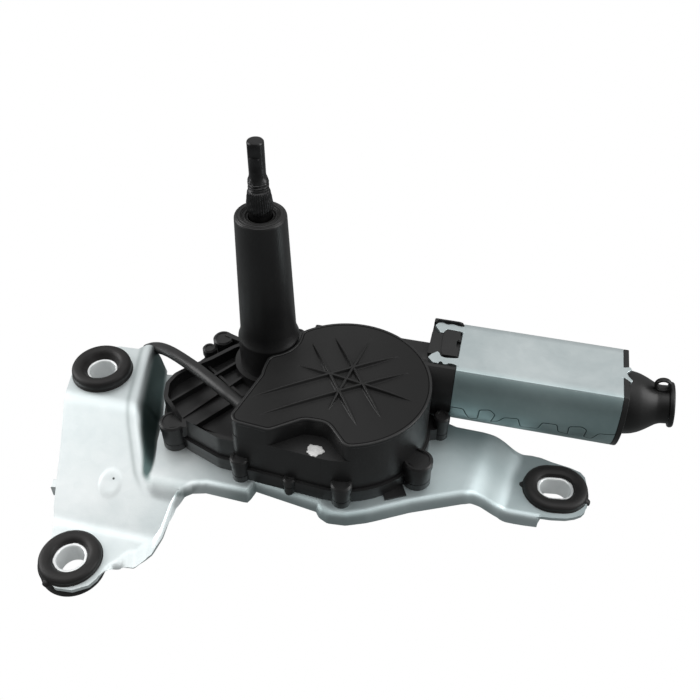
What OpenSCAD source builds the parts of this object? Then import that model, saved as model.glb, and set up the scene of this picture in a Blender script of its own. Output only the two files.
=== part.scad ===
// Rear wiper motor: a flat motor drives a worm wheel, whose crank swings a toothed
// sector and the output spindle. The origin is the wiper pivot, in the middle of the
// spindle's thread. +Z runs out along the spindle and +X along the motor axis.

/* [Output spindle] */
// Diameter of the spindle's thread
thread_d = 8; // [6:0.5:9]
// Length of the thread, half of it above the origin
thread_len = 7; // [5:0.5:9]
// Diameter of the pilot end above the thread
pilot_d = 6.2; // [5:0.1:6.4]
// Height of the pilot end above the origin
pilot_top = 19; // [14:0.5:24]
// Diameter of the spindle in its bushes
spindle_d = 9; // [8:0.5:10]
// Large diameter of the knurled cone
knurl_d = 10.5; // [9.5:0.1:11]
// Running clearance of a shaft in its bush, on the radius
running_gap = 0.08; // [0.03:0.01:0.1]

/* [Spindle tube] */
// Depth of the tube's top face below the origin
tube_top = 12.9; // [11:0.1:16]
// Outer diameter of the tube at its top
tube_top_d = 20.5; // [19.5:0.5:23]
// Outer diameter of the tube at its foot
tube_foot_d = 24; // [23.5:0.5:27]
// Bore of the tube, which holds the bushes
tube_bore_d = 14; // [13:0.5:15]
// Length of each spindle bush
bush_len = 15; // [8:1:20]

/* [Gear case] */
// Depth of the case's top face below the origin
case_top = 75; // [73:0.5:78]
// How far the case reaches below the motor
case_skirt = 0.3; // [0.2:0.1:1.5]
// Radius of the lid's round part
lid_r = 34.1; // [33:0.1:36]
// Wall thickness of the case
wall = 2.4; // [1.8:0.1:3]
// Thickness of the lid
lid_t = 2; // [1.5:0.1:2.4]
// Height of the lid's stiffening ribs
lid_rib_h = 0.8; // [0.4:0.1:1.5]
// Distance from the lid's middle to each rib of the square
lid_rib_square = 5.2; // [4:0.1:7]
// Depth of the side tray's rim below the case's top face
tray_drop = 15; // [12:0.5:17]
// Thickness of the base cover's floor
cover_t = 2; // [1.5:0.1:2.5]

/* [Gears] */
// Module of the worm gearing
worm_module = 1; // [0.9:0.05:1.1]
// Teeth of the worm wheel
wheel_teeth = 52; // [48:1:54]
// Pitch diameter of the worm
worm_d = 10.4; // [9.6:0.2:11.2]
// Face width of the worm wheel
wheel_w = 6.6; // [5:0.2:7]
// Module of the sector and pinion
link_module = 0.9; // [0.8:0.05:1]
// Teeth of the spindle's pinion
pinion_teeth = 20; // [18:1:22]
// Teeth of the sector, counted as a full wheel
sector_teeth = 40; // [36:1:42]
// Swing of the output spindle
wipe_angle = 110; // [80:1:112]
// Distance from the sector's pivot to the rod's pin
rocker_r = 15.5; // [14.5:0.1:15.8]

/* [Motor] */
// Diameter of the motor can over its round sides
can_d = 41.3; // [39:0.1:44]
// Height of the motor can over its flats
can_h = 29.2; // [28:0.1:32]
// Length of the motor can
can_len = 68.8; // [60:0.2:80]
// Sheet thickness of the motor can
can_t = 1.4; // [1:0.1:1.8]
// Diameter of the armature core
armature_d = 24.6; // [20:0.2:25.4]
// Diameter of the armature shaft
shaft_d = 6; // [5:0.5:6.5]

/* [Bracket] */
// Height of the feet between the cover and the bracket
cover_stand = 1.1; // [0.8:0.1:3]
// Sheet thickness of the bracket
sheet_t = 1.8; // [1.4:0.1:2.4]
// Height of the rear tab above the middle plane
rear_tab_rise = 14; // [10:0.5:18]
// Drop of the front and side tabs below the middle plane
low_tab_drop = 14; // [10:0.5:18]
// Depth of the rolled front flange
flange_depth = 3.6; // [2:0.1:5]

/* [Grommets] */
// Outer diameter of a rubber grommet
grommet_d = 26.2; // [25:0.2:28]
// Height of a rubber grommet
grommet_h = 11.8; // [10:0.1:13]
// Bore of the steel sleeve in a round grommet
sleeve_bore = 11; // [10:0.1:12]
// Wall of the steel sleeves
sleeve_t = 0.8; // [0.6:0.1:1.2]
// Slot travel of the side grommet's sleeve
slot_travel = 3.6; // [2:0.1:4.6]
// Width across the side sleeve's slot
slot_w = 9.6; // [9:0.1:11]

/* [Vent hose] */
// Outer diameter of the vent hose
hose_d = 5.4; // [4:0.1:5.6]

/* [Hidden] */

$fn = 64;
eps = 0.01;
fit_gap = 0.03;      // between pieces that are pressed or clipped together
face_gap = 0.3;      // between moving faces

// Heights, as depths below the origin turned to Z
z_case_top = -case_top;
z_case_low = z_case_top - can_h - case_skirt;
z_lid_low = z_case_top - lid_t;
z_rim = z_case_top - tray_drop;
z_tray_floor = z_rim - 5.5;
z_roof_low = z_tray_floor - 2;
z_shelf = z_case_top - 9;
shelf_t = 1.6;
gasket_t = 0.4;
cover_lip = 2;
z_cover_top = z_case_low - gasket_t;
z_cover_floor = z_cover_top - cover_lip;
z_cover_low = z_cover_floor - cover_t;
z_bracket = z_cover_low - cover_stand;
z_motor = z_case_top - can_h / 2;

// Linkage layers, downwards from the worm wheel
wheel_top = z_motor + wheel_w / 2;
wheel_low = z_motor - wheel_w / 2;
rod_t = 2.5;
z_crank_end = z_roof_low - 0.7;
z_rod_top = z_crank_end - face_gap;
z_rod_low = z_rod_top - rod_t;
z_sector_top = z_rod_low - face_gap;
z_sector_low = z_cover_floor + face_gap;

// Plan positions
wheel_at = [39, -20.2];
wheel_r = worm_module * wheel_teeth / 2;
worm_y = wheel_at.y + wheel_r + worm_d / 2;
pinion_r = link_module * pinion_teeth / 2;
sector_r = link_module * sector_teeth / 2;
sector_dir = 228;                       // from the spindle to the sector's pivot
sector_at = (pinion_r + sector_r) * [cos(sector_dir), sin(sector_dir)];

// Linkage: the rod's pin at both ends of the sector's swing gives crank and rod lengths
sector_swing = wipe_angle * pinion_teeth / sector_teeth;
rocker_mid = -90;
function rocker_pin(turn) = sector_at + rocker_r * [cos(rocker_mid + turn), sin(rocker_mid + turn)];
pin_rest = rocker_pin(sector_swing / 2);
pin_far = rocker_pin(-sector_swing / 2);
reach_rest = norm(wheel_at - pin_rest);
reach_far = norm(wheel_at - pin_far);
rod_len = (reach_rest + reach_far) / 2;
crank_r = (reach_far - reach_rest) / 2;
rod_dir = atan2(wheel_at.y - pin_rest.y, wheel_at.x - pin_rest.x);
crank_at = pin_rest + rod_len * [cos(rod_dir), sin(rod_dir)];

// Motor stations along X
flange_x = 69;
flange_len = 13;
can_x = flange_x + flange_len;
can_end = can_x + can_len;
cap_t = 2.2;
cap_end = can_end + cap_t;
worm_mid = wheel_at.x;
worm_len = 22;
worm_turns = floor(worm_len / (PI * worm_module));
shaft_start = 21;

// Tab positions: the middle of each grommet
rear_at = [-71.7, -21.1];
front_at = [-56.1, -98.1];
side_at = [132, -18.8];
z_rear_tab = z_bracket + rear_tab_rise;
z_low_tab = z_bracket - low_tab_drop;
groove_r = grommet_d / 2 - 3.1;
slot_dir = 8;                           // the side slot's long way, from +X

// Screw posts round the case: place, radius and height above the bracket
posts = [
    [[-31, -41.5], 5.3, 16],
    [[2, -52.6], 3.7, 14.5],
    [[45.3, -55.6], 4, 14],
    [[73.2, -38], 5.9, 15.5],
    [[79.3, -11.6], 3.2, 15],
    [[-25.6, 9.5], 4.3, 19],
    [[7, 19.5], 4, 19]
];
studs = [[[-29.8, 2.2], 2.8, 18.5], [[23.5, -55], 2.3, 10]];
screw_r = 1.7;
screw_reach = 11.5;
screw_head_r = 3;

// Corner list [x, y, radius] to a polygon with round corners
function unit(v) = v / norm(v);
function corner(a, b, c, r, steps = 8) =
    let (u = unit([a.x - b.x, a.y - b.y]), v = unit([c.x - b.x, c.y - b.y]),
         half = acos(max(-1, min(1, u * v))) / 2,
         reach = min(r / tan(half), 0.49 * norm([a.x - b.x, a.y - b.y]),
             0.49 * norm([c.x - b.x, c.y - b.y])),
         rr = reach * tan(half), p = [b.x, b.y] + reach * u, q = [b.x, b.y] + reach * v,
         m = [b.x, b.y] + (rr / sin(half)) * unit(u + v),
         s = atan2(p.y - m.y, p.x - m.x), e = atan2(q.y - m.y, q.x - m.x),
         turn = e - s > 180 ? e - s - 360 : e - s < -180 ? e - s + 360 : e - s)
    [for (i = [0 : steps]) m + rr * [cos(s + turn * i / steps), sin(s + turn * i / steps)]];
function rounded(pts) = [for (i = [0 : len(pts) - 1])
    let (n = len(pts), a = pts[(i + n - 1) % n], b = pts[i], c = pts[(i + 1) % n])
    each (b[2] > 0 ? corner(a, b, c, b[2]) : [[b.x, b.y]])];
function arc(at, r, from, to, steps) =
    [for (i = [0 : steps]) at + r * [cos(from + (to - from) * i / steps),
        sin(from + (to - from) * i / steps)]];
function clamp(v, low, high) = max(low, min(high, v));
function smooth(t) = let (k = max(0, min(1, t))) k * k * (3 - 2 * k);

// Plan outlines
tube_clear_r = 15.2;
lid_tip = [-0.6, -51];
front_tangent = [36, -54.2];
module full_plan() {
    translate(wheel_at) circle(r = lid_r, $fn = 96);
    polygon(rounded([[lid_tip.x, lid_tip.y, 2.5], [front_tangent.x, front_tangent.y, 0], [50, -20, 0], [20,
        8, 0],
        [9, -6, 0], [7.6, -14, 0]]));
}
module lid_outline(grow = 0) {
    offset(delta = grow) offset(r = 3, $fn = 40) offset(delta = -3) difference() {
        full_plan();
        circle(r = tube_clear_r);
        polygon(rounded([[12, -62, 0], [14.5, -53, 3], [27.2, -43.4, 8], [37.4, -43.2, 8], [47.2, -54, 2],
            [50, -62, 0]]));
    }
}
module full_outline(grow = 0) {
    offset(delta = grow) full_plan();
}
module tray_outline(grow = 0) {
    offset(delta = grow) polygon(rounded([[lid_tip.x + 6, lid_tip.y + 0.5, 2], [-8, -49.6, 8],
        [-24, -43.5, 9], [-37.5, -34, 7], [-39.9, -25, 6], [-38.3, -18.8, 5], [-33.4, -12.4, 12],
        [-26.5, -5.5, 6], [-19, 4, 8], [-10, 12, 5], [4, 15, 4], [26, 8, 0], [22, -20, 0]]));
}
module low_outline(grow = 0) {
    offset(delta = grow) polygon(rounded([[lid_tip.x + 6, lid_tip.y + 0.5, 2], [-8, -49.6, 8],
        [-24, -43.5, 9], [-37.5, -34, 7], [-39.9, -25, 6], [-38.6, -14, 9], [-34.5, -5, 8], [-30, 4, 4],
        [-24, 11, 5], [-12, 14, 4], [4, 19, 4], [26, 15, 0], [22, -20, 0]]));
}
// web from the case out to the screw post beside the motor
module motor_lug() {
    polygon([[66, -20], [posts[4][0].x, posts[4][0].y - 2.4], [posts[4][0].x, posts[4][0].y + 2.4], [66,
        -2]]);
}
tunnel_r = 9.3;
module base_outline(grow = 0) {
    offset(delta = grow) union() {
        full_outline(1.2);
        low_outline();
        translate([shaft_start - 4, 0]) square([flange_x - shaft_start + 4 - eps, worm_y + 6]);
    }
}

// Flat-sided round section of the motor, in the Y-Z plane, drawn as X-Y
module can_section(grow = 0) {
    intersection() {
        circle(d = can_d + 2 * grow, $fn = 96);
        square([can_d + 2 * grow, can_h + 2 * grow], center = true);
    }
}
module along_motor(x, len) {
    translate([x, worm_y, z_motor]) rotate([90, 0, 90]) linear_extrude(len) children();
}
module motor_rod(x, len, r, n = 64) {
    translate([x, worm_y, z_motor]) rotate([0, 90, 0]) cylinder(r = r, h = len, $fn = n);
}
module plate(z0, z1) {
    translate([0, 0, min(z0, z1)]) linear_extrude(abs(z1 - z0)) children();
}
module rod_up(at, r, z0, z1) {
    translate([at.x, at.y, min(z0, z1)]) cylinder(r = r, h = abs(z1 - z0));
}
module ring_up(at, r_out, r_in, z0, z1) {
    difference() {
        rod_up(at, r_out, z0, z1);
        rod_up(at, r_in, min(z0, z1) - 1, max(z0, z1) + 1);
    }
}

// Gear case: moulded block, side tray, spindle tube, worm tunnel and motor flange
tube_mid_r = tube_bore_d / 2;
spindle_boss_r = 13.2;
z_tube_foot = z_case_top + 1;
lid_ledge = 1.4;
module tube_profile() {
    rotate_extrude() polygon([[0, z_roof_low], [spindle_boss_r, z_roof_low], [spindle_boss_r,
        z_tube_foot - 0.6],
        [spindle_boss_r - 0.6, z_tube_foot], [tube_foot_d / 2, z_tube_foot], [tube_top_d / 2,
            -tube_top - 0.7],
        [tube_top_d / 2 - 0.7, -tube_top], [0, -tube_top]]);
}
module case_outer() {
    plate(z_shelf, z_case_top) lid_outline(1.2);
    plate(z_case_low, z_shelf) full_outline(1.2);
    plate(z_case_low, z_rim) tray_outline();
    plate(z_case_low, z_roof_low + 0.5) low_outline();
    plate(z_case_low, z_case_low + 3) union() {
        base_outline(1.3);
        motor_lug();
    }
    tube_profile();
    translate([shaft_start - 4, worm_y, z_motor]) rotate([90, 0,
        90]) linear_extrude(flange_x - shaft_start + 4)
        intersection() {
            circle(r = tunnel_r + 1);
            translate([-tunnel_r, -20]) square([2 * tunnel_r, 20 + tunnel_r]);
        }
    along_motor(flange_x, flange_len - fit_gap) can_section();
    // vent stub, whose end face meets the hose
    translate(spigot_at) rotate([0, 90, spigot_dir]) translate([0, 0, -2.4]) cylinder(r = spigot_r,
        h = spigot_len + 2.4);
    for (p = concat(posts, studs)) post(p[0], p[1], z_bracket + p[2]);
    // webs from the big posts up to the wall
    for (p = [posts[3], posts[0]])
        translate([p[0].x, p[0].y, z_bracket + p[2] - 1]) rotate([0, 0, atan2(wheel_at.y - p[0].y,
            wheel_at.x - p[0].x)])
            rotate([90, 0, 0]) translate([0, 0, -p[1] * 0.7]) linear_extrude(p[1] * 1.4)
                polygon([[-p[1] * 0.4, 0], [p[1] * 0.9, p[1] * 1.1], [p[1] * 2, p[1] * 1.1], [p[1] * 2, -6],
                    [0, -6]]);
}
module post(at, r, top) {
    rod_up(at, r, z_case_low, top - 4);
    translate([at.x, at.y, 0]) rotate_extrude() polygon([[0, top - 4.4], [r, top - 4.4], [r + 0.35, top - 4],
        [r + 0.35, top - 1], [r - 0.3, top - 0.2], [r - 1.1, top - 0.2], [r - 1.3, top - 0.6], [0,
            top - 0.6]]);
}
module tray_pocket() {
    difference() {
        plate(z_tray_floor, z_rim + 1) difference() {
            tray_outline(-1.8);
            full_outline(2.4);
            circle(r = spindle_boss_r + 2.5);
            translate([-15, 6]) square([60, 20]);
        }
        for (s = [-9, 0, 9, 18])
            translate([-17.2, -22.5, z_tray_floor - 1]) rotate([0, 0, 55.5]) translate([-30, s - 0.6,
                0]) cube([60, 1.2, 4]);
        translate([-17.2, -22.5, z_tray_floor - 1]) rotate([0, 0, -34.5]) translate([-30, 6, 0]) cube([60,
            1.2, 3]);
    }
}
module gear_case() {
    color([0.13, 0.13, 0.14]) difference() {
        case_outer();
        // rebate and opening for the lid, and the wheel chamber
        plate(z_lid_low, z_case_top + 1) lid_outline(fit_gap);
        plate(z_case_low - 1, z_lid_low + eps) lid_outline(-lid_ledge);
        plate(z_case_low - 1, z_shelf - shelf_t) full_outline(-lid_ledge);
        // linkage chamber, open to the base cover
        plate(z_case_low - 1, z_roof_low) base_outline(-wall);
        tray_pocket();
        // spindle bore with its seal seat
        rod_up([0, 0], tube_mid_r, z_case_low, -tube_top + 1);
        rod_up([0, 0], tube_mid_r + 0.8, -tube_top - 3, -tube_top + 1);
        // worm tunnel, bearing seats and motor register
        motor_rod(shaft_start + 3, flange_x - shaft_start, worm_d / 2 + 2.2);
        motor_rod(shaft_start - 2, 6, 5);
        motor_rod(flange_x - 2, flange_len + 4, 6.5);
        along_motor(can_x - 5, 6) can_section(-3.4);
        // clinch tab seats in the flange's top, and a notch between them
        for (y = clinch_y)
            translate([flange_x - 1, y - clinch_w / 2 - 0.5, z_case_top - can_t])
                cube([flange_len + 2, clinch_w + 1, can_t + 1]);
        translate([can_x - 2.5, worm_y - 1, z_case_top - 1.2]) cube([3, 4, 2]);
        // screw holes in the posts
        for (p = posts) rod_up(p[0], screw_r, z_case_low - 1, z_bracket + screw_reach + 0.8);
        // vent spigot bore
        translate(spigot_at) rotate([0, 90, spigot_dir]) cylinder(r = 1.2, h = 16, center = true);
    }
}

// Lid with radiating ribs and the wheel's axle boss
module spear(len_a, len_b, shift, turn) {
    rotate([0, 0, turn]) translate([0, shift, 0]) linear_extrude(lid_rib_h, scale = [1, 0.4], slices = 1)
        polygon([[-len_a, 0], [-len_a * 0.6, -0.9], [len_b * 0.6, -0.9], [len_b, 0],
            [len_b * 0.6, 0.9], [-len_a * 0.6, 0.9]]);
}
rib_turn = 34.5;
axle_r = 3.2;
module case_lid() {
    color([0.15, 0.15, 0.16]) difference() {
        union() {
            plate(z_lid_low + eps, z_case_top) lid_outline(-fit_gap);
            rod_up(wheel_at, axle_r + 3, wheel_top + 0.5, z_lid_low + 1);
            translate([wheel_at.x, wheel_at.y, z_case_top]) {
                for (side = [-1, 1]) {
                    spear(39, 26, side * lid_rib_square, rib_turn);
                    spear(24.5, 26, side * lid_rib_square, rib_turn + 90);
                }
                spear(18, 25.5, 0, rib_turn + 45);
                spear(22, 29.5, 0, rib_turn - 45);
            }
        }
        rod_up(wheel_at, axle_r + fit_gap, wheel_low, z_lid_low - 0.5);
    }
}

// Base gasket, cover and screws
module ears(grow = 0) {
    for (p = concat(posts, studs)) translate(p[0]) circle(r = p[1] + grow);
    motor_lug();
}
module base_gasket() {
    color([0.1, 0.1, 0.1]) plate(z_cover_top, z_case_low) difference() {
        union() {
            base_outline(1.2);
            ears(-0.2);
        }
        base_outline(-wall + 0.6);
        for (p = posts) translate(p[0]) circle(r = screw_r + 0.3);
    }
}
module base_cover() {
    color([0.14, 0.14, 0.15]) difference() {
        union() {
            plate(z_cover_low, z_cover_top) base_outline(1.2);
            plate(z_bracket, z_cover_top) ears();
            for (at = [[-26, -26], [20, -45], [56, -40], [30, 6]])
                rod_up(at, 4, z_bracket, z_cover_low + eps);
            translate([66, -48, z_bracket + 0.6]) rotate([0, 0, 28]) translate([-4.5, -1.6, 0])
                cube([9, 8, z_cover_low - z_bracket + 1]);
        }
        plate(z_cover_floor, z_cover_top + 1) base_outline(-wall);
        for (p = posts) rod_up(p[0], screw_r + 0.3, z_bracket - 1, z_cover_top + 1);
        rod_up(sector_at, 3 + fit_gap, z_cover_floor - 1.2, z_cover_top);
    }
}
module case_screws() {
    color("silver") for (p = posts) {
        rod_up(p[0], screw_r - fit_gap, z_bracket - sheet_t - 0.2, z_bracket + screw_reach);
        difference() {
            rod_up(p[0], screw_head_r, z_bracket - sheet_t - 2.4, z_bracket - sheet_t - 0.1);
            translate([p[0].x, p[0].y, z_bracket - sheet_t - 2.5]) cylinder(r = 1.6, h = 1.3, $fn = 6);
        }
    }
}

// Output spindle and what turns on it
spindle_low = z_sector_low + 0.2;
clip_z = -tube_top - 4.4;
flat_depth = 0.9;
module output_spindle() {
    color([0.16, 0.16, 0.17]) difference() {
        rotate_extrude() polygon([[0, spindle_low], [spindle_d / 2, spindle_low], [spindle_d / 2,
            clip_z - 0.6],
            [spindle_d / 2 - 0.5, clip_z - 0.6], [spindle_d / 2 - 0.5, clip_z + 0.6], [spindle_d / 2,
                clip_z + 0.6],
            [spindle_d / 2, -tube_top - 2.2], [knurl_d / 2 - 0.5, -tube_top - 1.6], [knurl_d / 2, -tube_top],
            [thread_d / 2 + 0.45, -thread_len / 2 - 1], [thread_d / 2 - 0.5, -thread_len / 2 - 0.6],
            [thread_d / 2 - 0.5, -thread_len / 2], [thread_d / 2, -thread_len / 2], [thread_d / 2,
                thread_len / 2],
            [pilot_d / 2, thread_len / 2 + 0.6], [pilot_d / 2, pilot_top - 0.6], [pilot_d / 2 - 0.6,
                pilot_top],
            [0, pilot_top]]);
        translate([-5, -pilot_d / 2 - 1, pilot_top - 8]) cube([10, 1 + flat_depth, 6.4]);
        rotate([0, 0, 180]) translate([-5, -pilot_d / 2 - 1, pilot_top - 8]) cube([10, 1 + flat_depth, 6.4]);
    }
}
module spindle_seal() {
    color([0.08, 0.08, 0.08]) rotate_extrude() polygon([[tube_mid_r + 0.77, -tube_top - 0.6],
        [tube_mid_r + 0.77, -tube_top - 2.95], [spindle_d / 2 + running_gap, -tube_top - 2.95],
        [spindle_d / 2 + running_gap, -tube_top - 2.4], [knurl_d / 2 + 0.5, -tube_top - 2.2],
        [knurl_d / 2 + 0.9, -tube_top - 0.6], [knurl_d / 2 + 1.5, -tube_top - 0.3],
        [tube_mid_r + 0.3, -tube_top - 0.3]]);
}
module spindle_circlip() {
    color("dimgray") difference() {
        ring_up([0, 0], spindle_d / 2 + 1.3, spindle_d / 2 - 0.5 + fit_gap, clip_z - 0.5, clip_z + 0.5);
        translate([0, -1.2, clip_z - 1]) cube([10, 2.4, 2]);
    }
}
module spindle_washer() {
    color("silver") ring_up([0, 0], tube_mid_r - fit_gap, spindle_d / 2 + running_gap, clip_z - 1.6,
        clip_z - 0.6);
}
z_upper_bush = clip_z - 1.6;
module upper_bush() {
    color([0.7, 0.55, 0.3]) ring_up([0, 0], tube_mid_r - fit_gap, spindle_d / 2 + running_gap,
        z_upper_bush - bush_len, z_upper_bush);
}
module lower_bush() {
    color([0.7, 0.55, 0.3]) ring_up([0, 0], tube_mid_r - fit_gap, spindle_d / 2 + running_gap,
        z_roof_low + 0.5, z_roof_low + 0.5 + bush_len);
}

// Involute gearing: one tooth's flank by the roll angle on the base circle
function flank(rb, roll) = rb * sqrt(1 + pow(roll * PI / 180, 2));
function flank_turn(roll) = roll - atan(roll * PI / 180);
function roll_at(rb, r) = sqrt(max(0, pow(r / rb, 2) - 1)) * 180 / PI;
function tooth(m, n, play) =
    let (r = m * n / 2, rb = r * cos(20), tip = r + 0.95 * m, low = r - 1.2 * m,
         half = 90 / n - play / r * 90 / PI + flank_turn(roll_at(rb, r)),
         top = roll_at(rb, tip), side = [for (i = [0 : 4]) let (roll = top * i / 4)
             [max(flank(rb, roll), low), half - flank_turn(roll)]])
    concat([[low, min(half + 0.2, 150 / n)]], side);
function gear_points(m, n, play, from, to) = [for (k = [from : to])
    let (side = tooth(m, n, play), c = k * 360 / n)
    each concat([for (p = side) p[0] * [cos(c - p[1]), sin(c - p[1])]],
        [for (i = [len(side) - 1 : -1 : 0]) side[i][0] * [cos(c + side[i][1]), sin(c + side[i][1])]])];
mesh_play = 0.2;
module spindle_pinion() {
    color("silver") plate(z_sector_low, z_sector_top) rotate([0, 0, sector_dir + 180 / pinion_teeth])
        difference() {
            polygon(gear_points(link_module, pinion_teeth, mesh_play, 0, pinion_teeth - 1));
            circle(r = spindle_d / 2 + fit_gap);
        }
}
sector_span = 5;
rocker_eye_r = 4;
pivot_r = 3;
link_pin_r = 2.2;
module sector_gear() {
    turn = sector_swing / 2;
    toward = sector_dir + 180;
    tooth_r = sector_r - 1.2 * link_module;
    color([0.6, 0.6, 0.58]) translate([sector_at.x, sector_at.y, 0]) plate(z_sector_low, z_sector_top)
        difference() {
            union() {
                rotate([0, 0, toward + turn]) polygon(concat([[0, 0]],
                    gear_points(link_module, sector_teeth, mesh_play, -sector_span, sector_span)));
                circle(r = 6);
                rotate([0, 0, rocker_mid + turn]) {
                    translate([0, -rocker_eye_r]) square([rocker_r, 2 * rocker_eye_r]);
                    translate([rocker_r, 0]) circle(r = rocker_eye_r);
                }
            }
            circle(r = pivot_r + running_gap);
            translate(rocker_r * [cos(rocker_mid + turn), sin(rocker_mid + turn)])
                circle(r = link_pin_r + fit_gap);
        }
}
module sector_pivot() {
    color("silver") rod_up(sector_at, pivot_r, z_cover_floor - 1, z_roof_low);
}
module rod_pin() {
    color("silver") {
        rod_up(pin_rest, link_pin_r, z_sector_low, z_rod_top);
        rod_up(pin_rest, link_pin_r + 0.9, z_rod_top + 0.05, z_rod_top + 0.6);
        rod_up(pin_rest, link_pin_r, z_rod_top - eps, z_rod_top + 0.1);
    }
}
module connecting_rod() {
    color("silver") difference() {
        plate(z_rod_low, z_rod_top) union() {
            translate(pin_rest) circle(r = rocker_eye_r);
            translate(crank_at) circle(r = rocker_eye_r);
            translate(pin_rest) rotate([0, 0, rod_dir]) translate([0, -3]) square([rod_len, 6]);
        }
        rod_up(pin_rest, link_pin_r + running_gap, z_rod_low - 1, z_rod_top + 1);
        rod_up(crank_at, link_pin_r + running_gap, z_rod_low - 1, z_rod_top + 1);
    }
}

// Worm wheel: slanted teeth on a webbed disc
lead = PI * worm_module;
lead_angle = atan(lead / (PI * worm_d));
wheel_twist = -tan(lead_angle) * wheel_w / wheel_r * 180 / PI;
wheel_tip = wheel_r + worm_module;
wheel_root = wheel_r - 1.25 * worm_module;
wheel_tooth = 0.68;                     // half tooth widths at tip, pitch and root
function wheel_points(n) = [for (k = [0 : n - 1])
    let (c = (k + 0.5) * 360 / n + 90, w = [1.3, wheel_tooth, 0.36] * 180 / (PI * wheel_r) * worm_module,
         rr = [wheel_root, wheel_r, wheel_tip])
    each concat([for (i = [0 : 2]) rr[i] * [cos(c - w[i]), sin(c - w[i])]],
        [for (i = [2 : -1 : 0]) rr[i] * [cos(c + w[i]), sin(c + w[i])]])];
hub_r = 8;
rim_in = wheel_root - 3;
module worm_wheel() {
    color([0.88, 0.86, 0.78]) difference() {
        translate([wheel_at.x, wheel_at.y, wheel_low]) rotate([0, 0, -wheel_twist / -2])
            linear_extrude(wheel_w, twist = wheel_twist, slices = 2) polygon(wheel_points(wheel_teeth));
        ring_up(wheel_at, rim_in, hub_r + 5, wheel_low + 3.5, wheel_top + 1);
        rod_up(wheel_at, axle_r + running_gap, wheel_low - 1, wheel_top + 1);
        rod_up(crank_at, link_pin_r + fit_gap, wheel_low - 1, wheel_low + 5);
    }
}
module wheel_axle() {
    color("silver") difference() {
        rod_up(wheel_at, axle_r, wheel_low - 2.2, z_lid_low - 0.5);
        ring_up(wheel_at, axle_r + 1, axle_r - 0.6, wheel_low - 1.4, wheel_low - 0.4);
    }
}
module wheel_clip() {
    color("dimgray") difference() {
        ring_up(wheel_at, axle_r + 1, axle_r - 0.6 + fit_gap, wheel_low - 1.3, wheel_low - 0.5);
        translate([wheel_at.x - 10, wheel_at.y - 1, wheel_low - 2]) cube([10, 2, 2]);
    }
}
module crank_pin() {
    color("silver") rod_up(crank_at, link_pin_r, z_crank_end, wheel_low + 5);
}
park_r = rim_in + 1.5;
module park_disc() {
    color([0.8, 0.5, 0.25]) difference() {
        ring_up(wheel_at, wheel_root - 0.5, rim_in + 0.5, wheel_top, wheel_top + 0.3);
        translate([wheel_at.x - 2, wheel_at.y, wheel_top - 1]) cube([4, 40, 3]);
    }
}
module park_contacts() {
    color([0.75, 0.6, 0.3]) {
        plate(z_lid_low - 1.2, z_lid_low) translate(wheel_at) rotate([0, 0, 220]) translate([12, -6])
            square([14, 12]);
        for (s = [-4, 0, 4])
            translate([wheel_at.x, wheel_at.y, 0]) rotate([0, 0, 220]) translate([23.4, s - 0.6,
                wheel_top + 0.6])
                cube([1, 1.2, z_lid_low - wheel_top - 1.2]);
    }
}

// Armature: shaft with its worm thread, core, windings and commutator
function thread_ring(a) =
    let (x = lead * a / 360, rt = worm_d / 2 + 0.95 * worm_module, rb = shaft_r - 0.2,
         d = [cos(a), sin(a)])
    [[x - 0.98, rb * d.x, rb * d.y], [x - 0.3, rt * d.x, rt * d.y], [x + 0.3, rt * d.x, rt * d.y],
     [x + 0.98, rb * d.x, rb * d.y]];
shaft_r = worm_d / 2 - 1.3 * worm_module;
turn_step = 24;
module worm_thread() {
    turns = worm_turns * 360;
    n = turns / turn_step;
    rings = [for (i = [0 : n]) thread_ring(180 + turn_step * (i - n / 2))];
    points = [for (r = rings) each r];
    sides = [for (i = [0 : n - 1]) for (j = [0 : 3])
        let (a = 4 * i + j, b = 4 * i + (j + 1) % 4) each [[a, b + 4, a + 4], [a, b, b + 4]]];
    ends = [[0, 2, 1], [0, 3, 2], [4 * n, 4 * n + 1, 4 * n + 2], [4 * n, 4 * n + 2, 4 * n + 3]];
    polyhedron(points = points, faces = concat(sides, ends));
}
winding_len = 7;
comm_len = 9;
comm_r = 7;
rear_len = 5;
core_x = can_x + winding_len + 4;
comm_x = can_end - rear_len - 0.8 - comm_len;
core_len = comm_x - winding_len - 2 - core_x;
module armature_shaft() {
    color([0.75, 0.76, 0.78]) {
        translate([worm_mid - lead / 2, worm_y, z_motor]) worm_thread();
        motor_rod(worm_mid - worm_len / 2 - 1, worm_len + 2, shaft_r);
        motor_rod(shaft_start, can_end - shaft_start - face_gap, shaft_d / 2);
    }
}
module armature_core() {
    color([0.5, 0.5, 0.52]) difference() {
        motor_rod(core_x, core_len, armature_d / 2);
        motor_rod(core_x - 1, core_len + 2, shaft_d / 2 + fit_gap);
        for (k = [0 : 7]) translate([core_x - 1, worm_y, z_motor]) rotate([k * 45 + 22.5, 0, 0])
            translate([0, armature_d / 2 - 6, -0.9]) cube([core_len + 2, 10, 1.8]);
    }
}
module armature_windings() {
    color([0.72, 0.38, 0.2]) for (x = [core_x - winding_len, core_x + core_len]) difference() {
        motor_rod(x, winding_len, armature_d / 2 - 1.6);
        motor_rod(x - 1, winding_len + 2, shaft_d / 2 + fit_gap);
    }
}
module commutator() {
    color([0.72, 0.45, 0.2]) difference() {
        motor_rod(comm_x, comm_len, comm_r);
        motor_rod(comm_x - 1, comm_len + 2, shaft_d / 2 + fit_gap);
        for (k = [0 : 7]) translate([comm_x - 1, worm_y, z_motor]) rotate([k * 45, 0, 0])
            translate([0, comm_r - 1, -0.25]) cube([comm_len + 2, 2, 0.5]);
    }
}
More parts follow.
